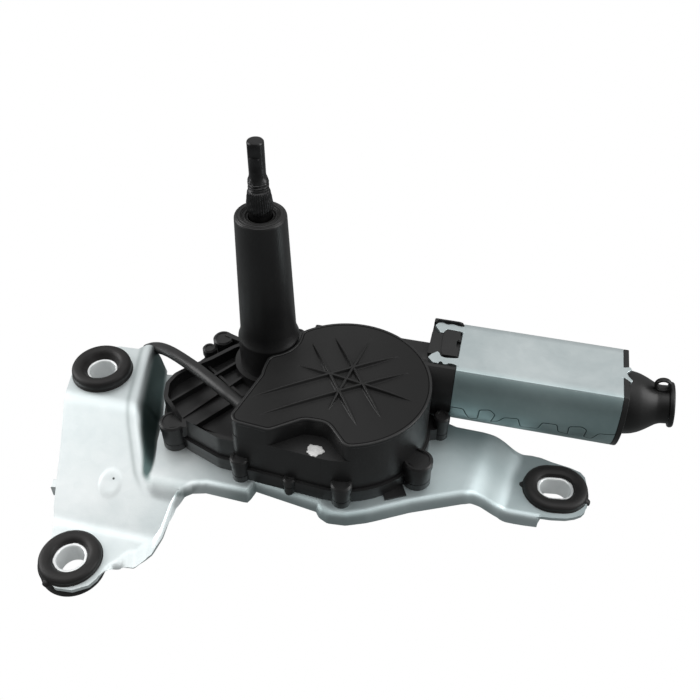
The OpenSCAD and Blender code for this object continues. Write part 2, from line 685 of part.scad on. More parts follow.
module bearing(x, len, r) {
    color([0.7, 0.55, 0.3]) difference() {
        motor_rod(x, len, r);
        motor_rod(x - 1, len + 2, shaft_d / 2 + running_gap);
    }
}
module front_bearing() { bearing(shaft_start + 0.5, 3.5, 5 - fit_gap); }
module middle_bearing() { bearing(flange_x + 2, 6, 6.5 - fit_gap); }
rear_seat_r = 7;
module rear_bearing() { bearing(can_end - rear_len, rear_len, rear_seat_r - fit_gap); }

// Motor can with clinch tabs, and what it holds
clinch_y = [worm_y - 10, worm_y + 9.5];
clinch_w = 5;
module clinch_tab(y, x, dir) {
    translate([x, y, z_case_top - can_t + fit_gap]) linear_extrude(can_t - fit_gap)
        scale([dir, 1]) polygon([[-1, -clinch_w / 2 + 0.6], [7, -clinch_w / 2 + 0.6], [7.6, -clinch_w / 2],
            [12, 0], [7.6, clinch_w / 2], [7, clinch_w / 2 - 0.6], [-1, clinch_w / 2 - 0.6]]);
}
module motor_can() {
    color([0.72, 0.76, 0.77]) {
        difference() {
            along_motor(can_x, can_len) can_section();
            along_motor(can_x - 1, can_len + 2) can_section(-can_t);
        }
        for (y = clinch_y) clinch_tab(y, can_x, -1);
        translate([can_end - 1, worm_y - 3, z_case_top - can_t + 0.05]) cube([cap_t + 2.2, 6, can_t - 0.1]);
    }
}
magnet_in = armature_d / 2 + 0.5;
module magnets() {
    color([0.25, 0.25, 0.27]) for (side = [0, 180])
        translate([core_x - 3, worm_y, z_motor]) rotate([0, 90, 0]) rotate([0, 0, 90 + side])
            rotate_extrude(angle = 84, start = -42) translate([magnet_in, 0])
                square([can_d / 2 - can_t - fit_gap - magnet_in, core_len + 6]);
}
brush_in = comm_r + 0.6;
brush_len = 4.8;
holder_x = comm_x - 1;
holder_len = can_end - 5.4 - holder_x;
module brush_holder() {
    color([0.2, 0.2, 0.2]) difference() {
        along_motor(holder_x, holder_len) can_section(-can_t - 0.2);
        motor_rod(holder_x - 1, holder_len + 2, brush_in);
        for (side = [-1, 1]) translate([comm_x + 1, worm_y + side * (brush_in + 5.1) - 6, z_motor - 2.2])
            cube([6, 12, 4.4]);
    }
}
module brushes() {
    color([0.18, 0.18, 0.18]) for (side = [-1, 1])
        translate([comm_x + 1.1, worm_y - brush_len / 2 + side * (brush_in + brush_len / 2), z_motor - 2.1])
            cube([5.8, brush_len, 4.2]);
}
spring_in = brush_in + brush_len + 0.25;
spring_len = can_d / 2 - can_t - 0.7 - spring_in;
module brush_springs() {
    color("silver") for (side = [-1, 1])
        translate([comm_x + 4, worm_y + side * (spring_in + spring_len / 2), z_motor]) rotate([90, 0,
            0]) difference() {
            cylinder(r = 1.8, h = spring_len, center = true, $fn = 32);
            cylinder(r = 1.2, h = spring_len + 2, center = true, $fn = 32);
        }
}

// Rear cap, terminals and rubber boot
boot = [[-3, 14], [2, 13.8], [6, 12.6], [9.5, 10.6], [12.5, 8.8], [14.5, 8.2], [18.5, 8.2], [18.5, 9.4],
    [21.2, 9.4]];
boot_tilt = 8;
boot_drop = 2.2;
module end_cap() {
    color([0.12, 0.12, 0.13]) difference() {
        union() {
            along_motor(can_end, cap_t) can_section();
            along_motor(can_end - rear_len, rear_len + eps) can_section(-can_t - 0.1);
            along_motor(cap_end - eps, 8) square([13, 9], center = true);
        }
        motor_rod(can_end - rear_len - 1, rear_len + 1, rear_seat_r);
        along_motor(cap_end + 2, 8) square([11, 7], center = true);
        translate([can_end - 1, worm_y - 3.2, z_case_top - can_t - 0.05]) cube([cap_t + 3, 6.4, can_t + 1]);
        for (y = pin_ys) along_motor(can_end + 0.6, 10) translate([y, 0]) square([1.8 + 0.1, 0.8 + 0.1],
            center = true);
    }
}
pin_ys = [-3.6, 0, 3.6];
module terminal_pins() {
    color([0.8, 0.65, 0.3]) for (y = pin_ys) along_motor(can_end + 0.7, 9) translate([y, 0])
        square([1.8, 0.8], center = true);
}
boot_t = 1.8;
module boot_frame() {
    translate([cap_end, worm_y, z_motor - boot_drop]) rotate([0, 90 - boot_tilt, 0]) children();
}
module connector_boot() {
    color([0.1, 0.1, 0.1]) difference() {
        union() {
            boot_frame() rotate_extrude() polygon(concat([[0, -3]], [for (p = boot) [p[1], p[0]]],
                [[0, boot[len(boot) - 1][0]]]));
            // strap loops above and below the neck
            boot_frame() for (s = [[-1, 3.8, 14.8], [1, 2.3, 12.8]]) translate([s[0] * (7.6 + s[1] / 2), 0,
                s[2]])
                rotate([90, 0, 0]) difference() {
                    cylinder(r = s[1], h = 2.6, center = true, $fn = 40);
                    translate([s[0] * 0.5, 0, 0]) cylinder(r = s[1] - 1.5, h = 4, center = true, $fn = 40);
                }
        }
        boot_frame() rotate_extrude() polygon(concat([[0, -4]], [[boot[0][1] - boot_t, -4]],
            [for (p = boot) [p[1] - boot_t, p[0] - 0.01]], [[boot[len(boot) - 1][1] - boot_t, 30], [0, 30]]));
        translate([cap_end - 20, worm_y - 30, z_motor - 30]) cube([20, 60, 60]);
    }
}

// Bracket sheet: depth by place, front and back edges along X
fold_rear = -37.2;
fold_front = -82.4;
flat_rear = -34;
flat_front = -85.3;
function plate_z(y) = let (t = (fold_rear - y) / (fold_rear - fold_front),
    soft = t < -0.06 ? 0 : t < 0.06 ? pow(t + 0.06, 2) / 0.24 : t > 1.06 ? 1
        : t > 0.94 ? 1 - pow(1.06 - t, 2) / 0.24 : t)
    z_rear_tab + (z_low_tab - z_rear_tab) * soft;
ridge_x = [[-90, -26], [-66, -35], [-60.2, -40], [-43.4, -48.3], [-34.3, -51.8], [-6.3, -58], [4, -60]];
wall_w = [[-64, 5], [-56, 7], [-32, 11], [-5, 8], [4, 5]];
crossing_y = fold_rear + (fold_front - fold_rear) * rear_tab_rise / (rear_tab_rise + low_tab_drop);
step_x = [[-40, 92], [-5, 98]];
step_len = 20;
function sheet_z(x, y) =
    x > 60 ? z_bracket - low_tab_drop * smooth((x - lookup(y, step_x)) / step_len)
    : let (k = smooth((x - lookup(y, ridge_x)) / lookup(y, wall_w)),
        fade = smooth((y - crossing_y + 8) / 8)) (1 - k * fade) * plate_z(y) + k * fade * z_bracket;
back_edge = [[-84.5, -24], [-83, -17], [-80.5, -11], [-77, -7], [-71, -4.5], [-62, -4], [-58.5, 0.4], [-56,
    0.8],
    [-50, -4], [-44, -3], [-38, 4], [-28, 14], [-10, 22], [10, 26], [30, 24], [60, 14], [72, 4], [81, -3.6],
    [86, -5.2], [99, -5.6], [107, -3.6], [115, -2.4], [121, -1.9], [125, -2.2], [130, -3.6], [138, -5],
    [142.5, -6.5], [144.6, -9], [145.6, -14], [145.8, -18]];
front_edge = [[-66.5, -102], [-65.5, -105.5], [-62, -109], [-56, -111.5], [-49.5, -111], [-44, -107.5],
    [-42.2, -104], [-41.6, -99.6], [-39.7, -96.9], [-36.5, -95], [-31.3, -94.4], [-29.5, -91.6], [-26.2,
        -87.5],
    [-23.7, -80.7], [-22.3, -70], [-20.3, -64.6], [-17, -61.8], [-11, -60], [6, -60.4], [8, -54.9], [37,
        -59.4],
    [39, -61.8], [42, -63.2], [48.5, -62.5], [56, -59.3], [72, -50.3], [94, -40.4], [96, -39], [101, -37.2],
    [109, -35.2], [116, -35.4], [126, -35.2], [126.8, -34.3], [131.4, -34], [137.1, -33], [141, -31.4],
    [143.6, -29.6], [145, -27.5], [145.6, -24], [145.8, -19]];
flange_part = [[-42, 0], [-37, 0.6], [-28, 0.6], [-23, 0.4], [-20, 0.8], [6, 1], [8, 0.7], [37, 0.7], [39,
    0.8],
    [60, 1], [120, 1], [126, 0.9], [126.8, 0]];
// How far in from the edge the flange's crease lies
flange_band = [[-42, 1.2], [-38, 2], [-34, 5.4], [-27, 6], [-24, 4], [-21, 2.1], [6, 2.3], [126, 2.2], [127,
    1.2]];
// Stations follow the left edge at one side and lean along the ridge further in
left_shift = [[-105, 18.5], [-93, 16.9], [-76.5, 11.5], [-66, 9.3], [-55, 7.1], [-39, 3.1], [-25, 0]];
function lean_x(u, y) =
    let (w = clamp((u + 84.5) / 22.5, 0, 1), fall = clamp((30 - u) / 65, 0, 1))
    u + (1 - w) * lookup(y, left_shift) - 0.31 * w * fall * (y + 30);
function edge_y(u, edge, low, high, n = 0) =
    let (y = (low + high) / 2)
    n > 13 ? y : lookup(lean_x(u, y), edge) > y ? edge_y(u, edge, y, high, n + 1) : edge_y(u, edge, low, y,
        n + 1);
sheet_us = [-84.5, -83.6, -82, -80, -77.5, -75, -72.7, -70.6, -68.4, -66.4, -64.8, -63.2, -61.6, -60, -58,
    -56,
    -54, -52.2, -50.4, -48.9, -47.3, -45.6, -43.8, -42, -40.2, -38.4, -36.5, -34, -30, -25, -18, -11, -3, 5,
        7, 9,
    18, 28, 37, 39, 42, 48.5, 56, 64, 72, 81, 88, 94, 98, 101, 104, 108, 111.5, 115, 118, 122, 126, 126.9,
        131, 135,
    138.5, 141.5, 143.5, 144.8, 145.5, 145.8];
rows = 13;
// Across the sheet at one station: from the flange's lower edge, over its bend, to the back edge,
// with one row on each fold line so that both tabs are flat
edge_in = [0, 0.25, 0.58, 1];
edge_drop = [1, 0.5, 0.13, 0];
function sheet_row(u, j) =
    let (f = edge_y(u, front_edge, -125, -24.6), b = edge_y(u, back_edge, -24.4, 45), xf = lean_x(u, f),
         roll = flange_depth * lookup(xf, flange_part), band = lookup(xf, flange_band), f3 = f + band,
             span = b - f3,
         share = edge_in[min(j, 3)], wide = clamp((band - 2.4) / 3, 0, 1),
         m1 = clamp(flat_front, f3 + 0.12 * span, f3 + 0.25 * span),
         m2 = clamp(flat_rear, f3 + 0.6 * span, f3 + 0.83 * span), k = j - 3,
         y = j < 3 ? f + share * band : k <= 3 ? f3 + (m1 - f3) * k / 3 : k <= 9 ? m1 + (m2 - m1) * (k - 3)
             / 6
             : m2 + (b - m2) * (k - 9) / (rows - 10),
         lift = j < 3 ? -roll * (edge_drop[j] + wide * (1 - share - edge_drop[j])) : 0, x = lean_x(u, y))
    [x, y, sheet_z(x, max(y, f3)) + lift];
function sheet_normal(i, j) =
    let (n = len(sheet_us), m = rows + 3, along = sheet_row(sheet_us[min(n - 1, i + 1)], j)
        - sheet_row(sheet_us[max(0, i - 1)], j),
         across = sheet_row(sheet_us[i], min(m - 1, j + 1)) - sheet_row(sheet_us[i], max(0, j - 1)))
    unit(cross(along, across));
module sheet() {
    n = len(sheet_us);
    m = rows + 3;
    top = [for (i = [0 : n - 1]) for (j = [0 : m - 1]) sheet_row(sheet_us[i], j)];
    low = [for (i = [0 : n - 1]) for (j = [0 : m - 1]) top[i * m + j] - sheet_t * sheet_normal(i, j)];
    s = n * m;
    skin = [for (i = [0 : n - 2]) for (j = [0 : m - 2]) let (a = i * m + j, b = a + m)
        each [[a, a + 1, b + 1], [a, b + 1, b], [s + a, s + b + 1, s + a + 1], [s + a, s + b, s + b + 1]]];
    sides = [for (i = [0 : n - 2]) let (a = i * m, b = a + m, c = a + m - 1, d = b + m - 1)
        each [[a, b, s + b], [a, s + b, s + a], [c, s + d, d], [c, s + c, s + d]]];
    ends = [for (j = [0 : m - 2]) let (a = j, b = (n - 1) * m + j)
        each [[a, s + a + 1, a + 1], [a, s + a, s + a + 1], [b, b + 1, s + b + 1], [b, s + b + 1, s + b]]];
    polyhedron(points = concat(top, low), faces = concat(skin, sides, ends));
}
module mounting_bracket() {
    color([0.72, 0.78, 0.78]) difference() {
        union() {
            sheet();
            // small lug turned down on the left edge
            translate([-75.7, -71.5, z_bracket - 11.2]) rotate([0, 0, 10]) cube([1.9, 4, 5.6]);
        }
        rod_up(rear_at, groove_r + fit_gap, z_rear_tab - 8, z_rear_tab + 8);
        rod_up(front_at, groove_r + fit_gap, z_low_tab - 8, z_low_tab + 8);
        for (s = [-1, 1]) translate([side_at.x, side_at.y, z_low_tab - 8]) rotate([0, 0, slot_dir])
            translate([s * slot_travel / 2, 0, 0]) cylinder(r = groove_r - 0.8 + fit_gap, h = 16);
        translate([side_at.x, side_at.y, z_low_tab]) rotate([0, 0, slot_dir])
            cube([slot_travel, 2 * (groove_r - 0.8 + fit_gap), 16], center = true);
        for (p = posts) rod_up(p[0], screw_r + 0.3, z_bracket - 6, z_bracket + 4);
    }
}

// Grommets with a groove for the sheet, and their steel sleeves
lip_low = grommet_h / 2 + sheet_t / 2 - 0.2;
crown = grommet_h - lip_low;
function grommet_profile(r_out, r_in, r_groove, r_low, drop) = [[r_in, -drop + 0.8], [r_in + 0.8, -drop],
    [r_low - 2, -drop], [r_low - 0.6, -drop + 0.7], [r_low, -drop + 2], [r_low - 0.2, -sheet_t - fit_gap],
    [r_groove, -sheet_t - fit_gap], [r_groove, fit_gap], [r_out - 0.2, fit_gap], [r_out, crown - 2.6],
    [r_out - 0.7, crown - 1], [r_out - 2.4, crown], [r_in + 2, crown], [r_in + 0.6, crown - 0.8],
    [r_in, crown - 2]];
sleeve_sink = 2.3;
sleeve_low = -lip_low - 0.8;
sleeve_r = sleeve_bore / 2 + sleeve_t;
module round_grommet(at, z) {
    color([0.1, 0.1, 0.1]) translate([at.x, at.y, z]) rotate_extrude()
        polygon(grommet_profile(grommet_d / 2, sleeve_r + fit_gap, groove_r, grommet_d / 2, lip_low));
}
module round_sleeve(at, z) {
    color("silver") ring_up(at, sleeve_r, sleeve_bore / 2, z + sleeve_low, z + crown - sleeve_sink);
}
module rear_grommet() { round_grommet(rear_at, z_rear_tab); }
module front_grommet() { round_grommet(front_at, z_low_tab); }
module rear_sleeve() { round_sleeve(rear_at, z_rear_tab); }
module front_sleeve() { round_sleeve(front_at, z_low_tab); }
module slot_solid(r, z0, z1) {
    for (s = [-1, 1]) translate([s * slot_travel / 2, 0, z0]) cylinder(r = r, h = z1 - z0);
    translate([-slot_travel / 2, -r, z0]) cube([slot_travel, 2 * r, z1 - z0]);
}
side_sleeve_r = slot_w / 2 + sleeve_t;
module side_grommet() {
    r_out = grommet_d / 2 - 0.4;
    profile = grommet_profile(r_out, 2, groove_r - 0.8, r_out - 1.8, lip_low - 1.6);
    color([0.1, 0.1, 0.1]) translate([side_at.x, side_at.y, z_low_tab]) rotate([0, 0,
        slot_dir]) difference() {
        union() {
            for (s = [0, 180]) rotate([0, 0, s]) translate([slot_travel / 2, 0, 0]) rotate([0, 0, -90])
                rotate_extrude(angle = 180) polygon(profile);
            rotate([90, 0, 90]) translate([0, 0, -slot_travel / 2]) linear_extrude(slot_travel)
                for (s = [-1, 1])
                scale([s, 1]) polygon(profile);
        }
        slot_solid(side_sleeve_r + fit_gap, -20, 20);
    }
}
module side_sleeve() {
    color("silver") translate([side_at.x, side_at.y, z_low_tab]) rotate([0, 0, slot_dir]) difference() {
        slot_solid(side_sleeve_r, sleeve_low, crown - sleeve_sink);
        slot_solid(slot_w / 2, -20, 20);
    }
}

// Vent hose along its own points: off the stub, over the tray, and down behind the sheet's edge
spigot_at = [-0.4, -38.5, -80];
spigot_dir = 148;
spigot_len = 1.8;
spigot_r = 2.9;
function off_stub(s) = spigot_at + s * [cos(spigot_dir), sin(spigot_dir), 0];
hose_route = [off_stub(spigot_len), off_stub(6), [-9.1, -33.2, -80], [-15.8, -28.8, -80.4], [-21.1, -25,
    -81.3],
    [-26.4, -21.2, -82.3], [-32, -16.8, -84.3], [-39.7, -10.6, -87.6], [-46.9, -4.5, -91.8], [-53.8, 1.2,
        -96.8],
    [-60.1, 6, -102.4], [-65.1, 9.4, -107.6]];
hose_sides = 10;
function hose_frame(i) = let (n = len(hose_route), a = hose_route[max(0, i - 1)], b = hose_route[min(n - 1,
    i + 1)],
    t = unit(b - a), u = unit(cross(t, [0.3, 1, 0.2])), v = cross(t, u)) [u, v];
module vent_hose() {
    n = len(hose_route);
    points = [for (i = [0 : n - 1]) let (f = hose_frame(i)) for (k = [0 : hose_sides - 1])
        hose_route[i] + hose_d / 2 * (cos(360 * k / hose_sides) * f[0] + sin(360 * k / hose_sides) * f[1])];
    sides = [for (i = [0 : n - 2]) for (k = [0 : hose_sides - 1])
        let (a = i * hose_sides + k, b = i * hose_sides + (k + 1) % hose_sides)
        each [[a, b + hose_sides, b], [a, a + hose_sides, b + hose_sides]]];
    ends = [[for (k = [0 : hose_sides - 1]) k], [for (k = [hose_sides - 1 : -1 : 0]) (n - 1)
        * hose_sides + k]];
    color([0.1, 0.1, 0.1]) polyhedron(points = points, faces = concat(sides, ends));
}

mounting_bracket();
gear_case();
case_lid();
base_gasket();
base_cover();
case_screws();
output_spindle();
spindle_seal();
spindle_circlip();
spindle_washer();
upper_bush();
lower_bush();
spindle_pinion();
sector_gear();
sector_pivot();
rod_pin();
connecting_rod();
worm_wheel();
wheel_axle();
wheel_clip();
crank_pin();
park_disc();
park_contacts();
armature_shaft();
armature_core();
armature_windings();
commutator();
front_bearing();
middle_bearing();
rear_bearing();
motor_can();
magnets();
brush_holder();
brushes();
brush_springs();
end_cap();
terminal_pins();
connector_boot();
rear_grommet();
front_grommet();
side_grommet();
rear_sleeve();
front_sleeve();
side_sleeve();
vent_hose();
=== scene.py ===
import math

import bmesh
import bpy
import numpy as np
from mathutils import Matrix, Vector


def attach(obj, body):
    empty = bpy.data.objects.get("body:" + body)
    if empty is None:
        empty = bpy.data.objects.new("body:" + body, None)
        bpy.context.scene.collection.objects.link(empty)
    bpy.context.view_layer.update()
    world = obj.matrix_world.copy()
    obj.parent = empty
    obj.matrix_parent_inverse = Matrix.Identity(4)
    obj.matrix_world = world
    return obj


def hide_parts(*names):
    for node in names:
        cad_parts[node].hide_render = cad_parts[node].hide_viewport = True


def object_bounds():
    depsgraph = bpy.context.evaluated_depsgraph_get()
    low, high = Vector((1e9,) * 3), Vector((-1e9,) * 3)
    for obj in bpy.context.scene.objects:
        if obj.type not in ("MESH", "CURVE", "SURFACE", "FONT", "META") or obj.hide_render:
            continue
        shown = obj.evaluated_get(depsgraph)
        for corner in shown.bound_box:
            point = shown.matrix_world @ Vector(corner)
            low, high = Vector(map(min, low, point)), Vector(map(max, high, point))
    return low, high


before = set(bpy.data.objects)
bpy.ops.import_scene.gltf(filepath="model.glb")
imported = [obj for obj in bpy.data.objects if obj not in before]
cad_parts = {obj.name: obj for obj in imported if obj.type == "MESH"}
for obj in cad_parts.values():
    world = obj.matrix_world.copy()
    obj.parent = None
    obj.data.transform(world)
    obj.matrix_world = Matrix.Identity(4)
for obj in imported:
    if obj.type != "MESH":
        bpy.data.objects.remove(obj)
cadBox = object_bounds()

mm = 0.001
print("frame loaded:", len(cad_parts), "nodes")


def addNode(tree, kind, **values):
    # makes one shader node and sets its named inputs or properties
    node = tree.nodes.new(kind)
    for name, value in values.items():
        if name in node.inputs:
            node.inputs[name].default_value = value
        else:
            setattr(node, name, value)
    return node


def addSpan(tree, fromLow=0.0, fromHigh=1.0, toLow=0.0, toHigh=1.0, kind="SMOOTHSTEP"):
    # a map range, eased at both ends unless its kind is LINEAR
    values = {"From Min": fromLow, "From Max": fromHigh, "To Min": toLow, "To Max": toHigh}
    return addNode(tree, "ShaderNodeMapRange", interpolation_type=kind, **values)


def wire(tree, *links):
    # each link says a node, its output, the next node and the input there
    for source, output, target, into in links:
        tree.links.new(source.outputs[output], target.inputs[into])


def ramp(tree, stops):
    # a colour ramp from (place, value) pairs, values being grey or colours
    node = tree.nodes.new("ShaderNodeValToRGB")
    while len(node.color_ramp.elements) < len(stops):
        node.color_ramp.elements.new(0.5)
    for element, (place, value) in zip(node.color_ramp.elements, stops):
        element.position = place
        element.color = (*value, 1) if hasattr(value, "__len__") else (value, value, value, 1)
    return node


def newGroup(name, inputs, outputs):
    # an empty shader group with its named sockets
    group = bpy.data.node_groups.new(name, "ShaderNodeTree")
    for label, value in inputs.items():
        socket = group.interface.new_socket(name=label, in_out="INPUT", socket_type="NodeSocketFloat")
        socket.default_value = value
    for label in outputs:
        kind = "NodeSocketVector" if label == "Normal" else "NodeSocketFloat"
        group.interface.new_socket(name=label, in_out="OUTPUT", socket_type=kind)
    return group, group.nodes.new("NodeGroupInput"), group.nodes.new("NodeGroupOutput")


def makeGrainGroup():
    # moulded grain: a fine noise bumps the normal, a broad one gives patches
    group, start, end = newGroup("MouldGrain", {"Scale": 900.0, "Depth": 0.2, "Spread": 60.0},
        ("Patch", "Normal"))
    place = addNode(group, "ShaderNodeTexCoord")
    fine = addNode(group, "ShaderNodeTexNoise", Detail=3.0, Roughness=0.6)
    broad = addNode(group, "ShaderNodeTexNoise", Detail=4.0, Roughness=0.55)
    bump = addNode(group, "ShaderNodeBump", Distance=0.00006)
    for node, socket in ((fine, "Scale"), (broad, "Spread")):
        wire(group, (place, "Object", node, "Vector"), (start, socket, node, "Scale"))
    wire(group, (start, "Depth", bump, "Strength"), (fine, "Fac", bump, "Height"),
        (broad, "Fac", end, "Patch"), (bump, "Normal", end, "Normal"))
    return group


def makeDustGroup():
    # pale dust on faces that look up, broken up by a broad noise
    group, start, end = newGroup("TopDust", {"Amount": 0.3, "Scale": 90.0}, ("Mask",))
    place = addNode(group, "ShaderNodeTexCoord")
    noise = addNode(group, "ShaderNodeTexNoise", Detail=5.0, Roughness=0.65)
    geometry = addNode(group, "ShaderNodeNewGeometry")
    split = addNode(group, "ShaderNodeSeparateXYZ")
    upward = addSpan(group, 0.2, 1.0, kind="LINEAR")
    both = addNode(group, "ShaderNodeMath", operation="MULTIPLY")
    scaled = addNode(group, "ShaderNodeMath", operation="MULTIPLY", use_clamp=True)
    wire(group, (place, "Object", noise, "Vector"), (start, "Scale", noise, "Scale"),
        (geometry, "Normal", split, 0), (split, "Z", upward, "Value"), (upward, "Result", both, 0),
        (noise, "Fac", both, 1), (both, 0, scaled, 0), (start, "Amount", scaled, 1), (scaled, 0, end, "Mask"))
    return group


def makeZincGroup():
    # zinc coat: flaky crystals, broad clouding and a finely bumped normal
    group, start, end = newGroup("ZincCoat", {"Flake": 260.0, "Cloud": 22.0, "Depth": 0.15},
        ("Crystal", "Clouding", "Normal"))
    place = addNode(group, "ShaderNodeTexCoord")
    crystal = addNode(group, "ShaderNodeTexVoronoi")
    cloud = addNode(group, "ShaderNodeTexNoise", Detail=4.0, Roughness=0.6, Distortion=0.4)
    soft = addNode(group, "ShaderNodeTexNoise", Detail=3.0, Roughness=0.7)
    bump = addNode(group, "ShaderNodeBump", Distance=0.0004)
    grey = addNode(group, "ShaderNodeRGBToBW")
    for node, socket in ((crystal, "Flake"), (cloud, "Cloud"), (soft, "Flake")):
        wire(group, (place, "Object", node, "Vector"), (start, socket, node, "Scale"))
    wire(group, (crystal, "Color", grey, 0), (grey, 0, end, "Crystal"), (cloud, "Fac", end, "Clouding"),
        (start, "Depth", bump, "Strength"), (soft, "Fac", bump, "Height"), (bump, "Normal", end, "Normal"))
    return group


grainGroup, dustGroup, zincGroup = makeGrainGroup(), makeDustGroup(), makeZincGroup()


def startFinish(name, **values):
    # a new material; an underscore stands for a space in a socket's name
    material = bpy.data.materials.new(name)
    material.use_nodes = True
    shader = material.node_tree.nodes["Principled BSDF"]
    for socket, value in values.items():
        shader.inputs[socket.replace("_", " ")].default_value = value
    return material, material.node_tree, shader


def tintBase(material, mask, output, tone, blend="MULTIPLY"):
    # blends a tone into the base colour where the mask's output is 1
    tree = material.node_tree
    shader = tree.nodes["Principled BSDF"]
    mix = addNode(tree, "ShaderNodeMix", data_type="RGBA", blend_type=blend)
    mix.inputs["B"].default_value = (*tone, 1)
    tree.links.new(shader.inputs["Base Color"].links[0].from_socket, mix.inputs["A"])
    wire(tree, (mask, output, mix, "Factor"), (mix, "Result", shader, "Base Color"))


# what all moulded finishes share, and how much the crystals count beside the clouds on metal
shared = {"mouldedSpan": 0.12, "dustScale": 70.0, "dustTone": (0.16, 0.16, 0.155), "crystalPart": 0.06}


def mouldedFinish(name, dark, light, rough, grain, depth, spread, dust, gloss=0.5, metal=0.0):
    # plastic or rubber: broad patches in tone and roughness, fine grain in the normal, dust on top
    material, tree, shader = startFinish(name, Specular_IOR_Level=gloss, Metallic=metal)
    surface = addNode(tree, "ShaderNodeGroup", node_tree=grainGroup, Scale=grain, Depth=depth, Spread=spread)
    tones = ramp(tree, [(0.3, dark), (0.72, light)])
    half = shared["mouldedSpan"] / 2
    span = addSpan(tree, toLow=rough - half, toHigh=rough + half, kind="LINEAR")
    wire(tree, (surface, "Patch", tones, "Fac"), (tones, "Color", shader, "Base Color"),
        (surface, "Patch", span, "Value"), (span, "Result", shader, "Roughness"),
        (surface, "Normal", shader, "Normal"))
    if dust:
        top = addNode(tree, "ShaderNodeGroup", node_tree=dustGroup, Amount=dust, Scale=shared["dustScale"])
        tintBase(material, top, "Mask", shared["dustTone"], "MIX")
    return material


def metalFinish(name, dark, light, rough, flake, cloud, depth, roughSpan=0.16, metal=1.0):
    # plated or bare metal: crystals and clouds between two tones, roughness following the clouds
    material, tree, shader = startFinish(name, Metallic=metal)
    coat = addNode(tree, "ShaderNodeGroup", node_tree=zincGroup, Flake=flake, Cloud=cloud, Depth=depth)
    blend = addNode(tree, "ShaderNodeMath", operation="MULTIPLY_ADD")
    blend.inputs[1].default_value = shared["crystalPart"]
    tones = ramp(tree, [(0.35, dark), (0.8, light)])
    span = addSpan(tree, toLow=rough - roughSpan / 2, toHigh=rough + roughSpan / 2, kind="LINEAR")
    wire(tree, (coat, "Crystal", blend, 0), (coat, "Clouding", blend, 2), (blend, 0, tones, "Fac"),
        (tones, "Color", shader, "Base Color"), (coat, "Clouding", span, "Value"),
        (span, "Result", shader, "Roughness"), (coat, "Normal", shader, "Normal"))
    return material


seamLook = {
    "dark": (0.15, 0.38, 0.95, 0.0), "darkTone": (0.07, 0.095, 0.1),
    "lip": (0.34, 0.7, 0.7, 0.0), "highlightTone": (0.9, 0.94, 0.94), "sink": 0.0002, "strength": 0.6,
}


def seamFinish(material, look):
    # a rolled seam: sunk and dark where the distance in mm is near zero, with a painted highlight on the lip
    # just below it
    tree = material.node_tree
    shader = tree.nodes["Principled BSDF"]
    place = addNode(tree, "ShaderNodeAttribute", attribute_name="seam")
    size = addNode(tree, "ShaderNodeMath", operation="ABSOLUTE")
    below = addNode(tree, "ShaderNodeMath", operation="GREATER_THAN")
    below.inputs[1].default_value = 0.0
    lip = addNode(tree, "ShaderNodeMath", operation="MULTIPLY")
    dark, pale = addSpan(tree, *look["dark"]), addSpan(tree, *look["lip"])
    bump = addNode(tree, "ShaderNodeBump", Distance=look["sink"], Strength=look["strength"], invert=True)
    tree.links.new(shader.inputs["Normal"].links[0].from_socket, bump.inputs["Normal"])
    wire(tree, (place, "Fac", size, 0), (size, 0, dark, "Value"), (place, "Fac", pale, "Value"),
        (place, "Fac", below, 0), (pale, 0, lip, 0), (below, 0, lip, 1), (dark, 0, bump, "Height"),
        (bump, "Normal", shader, "Normal"))
    # painted highlight on the lip below the seam
    tintBase(material, lip, 0, look["highlightTone"], "MIX")
    tintBase(material, dark, 0, look["darkTone"], "MIX")


def paintedShadeFinish(material, tone):
    # painted shade: tints the base where the shade attribute is 1
    place = addNode(material.node_tree, "ShaderNodeAttribute", attribute_name="shade")
    tintBase(material, place, "Fac", tone)


def paintedShadeAlongX(material, start, end, tone):
    # painted shade: tints the base along X, from nothing at start to the full tone at end, both in metres
    tree = material.node_tree
    place = addNode(tree, "ShaderNodeTexCoord")
    split = addNode(tree, "ShaderNodeSeparateXYZ")
    span = addSpan(tree, start, end)
    wire(tree, (place, "Object", split, 0), (split, "X", span, "Value"))
    tintBase(material, span, 0, tone)


def paintedShadeSpot(material, place, radius, tone):
    # painted shade: tints the base inside a small soft round at a place in metres
    tree = material.node_tree
    where = addNode(tree, "ShaderNodeTexCoord")
    far = addNode(tree, "ShaderNodeVectorMath", operation="DISTANCE")
    far.inputs[1].default_value = place
    mask = addSpan(tree, 0.5 * radius, 1.3 * radius, 1.0, 0.0)
    wire(tree, (where, "Object", far, 0), (far, "Value", mask, "Value"))
    tintBase(material, mask, 0, tone)


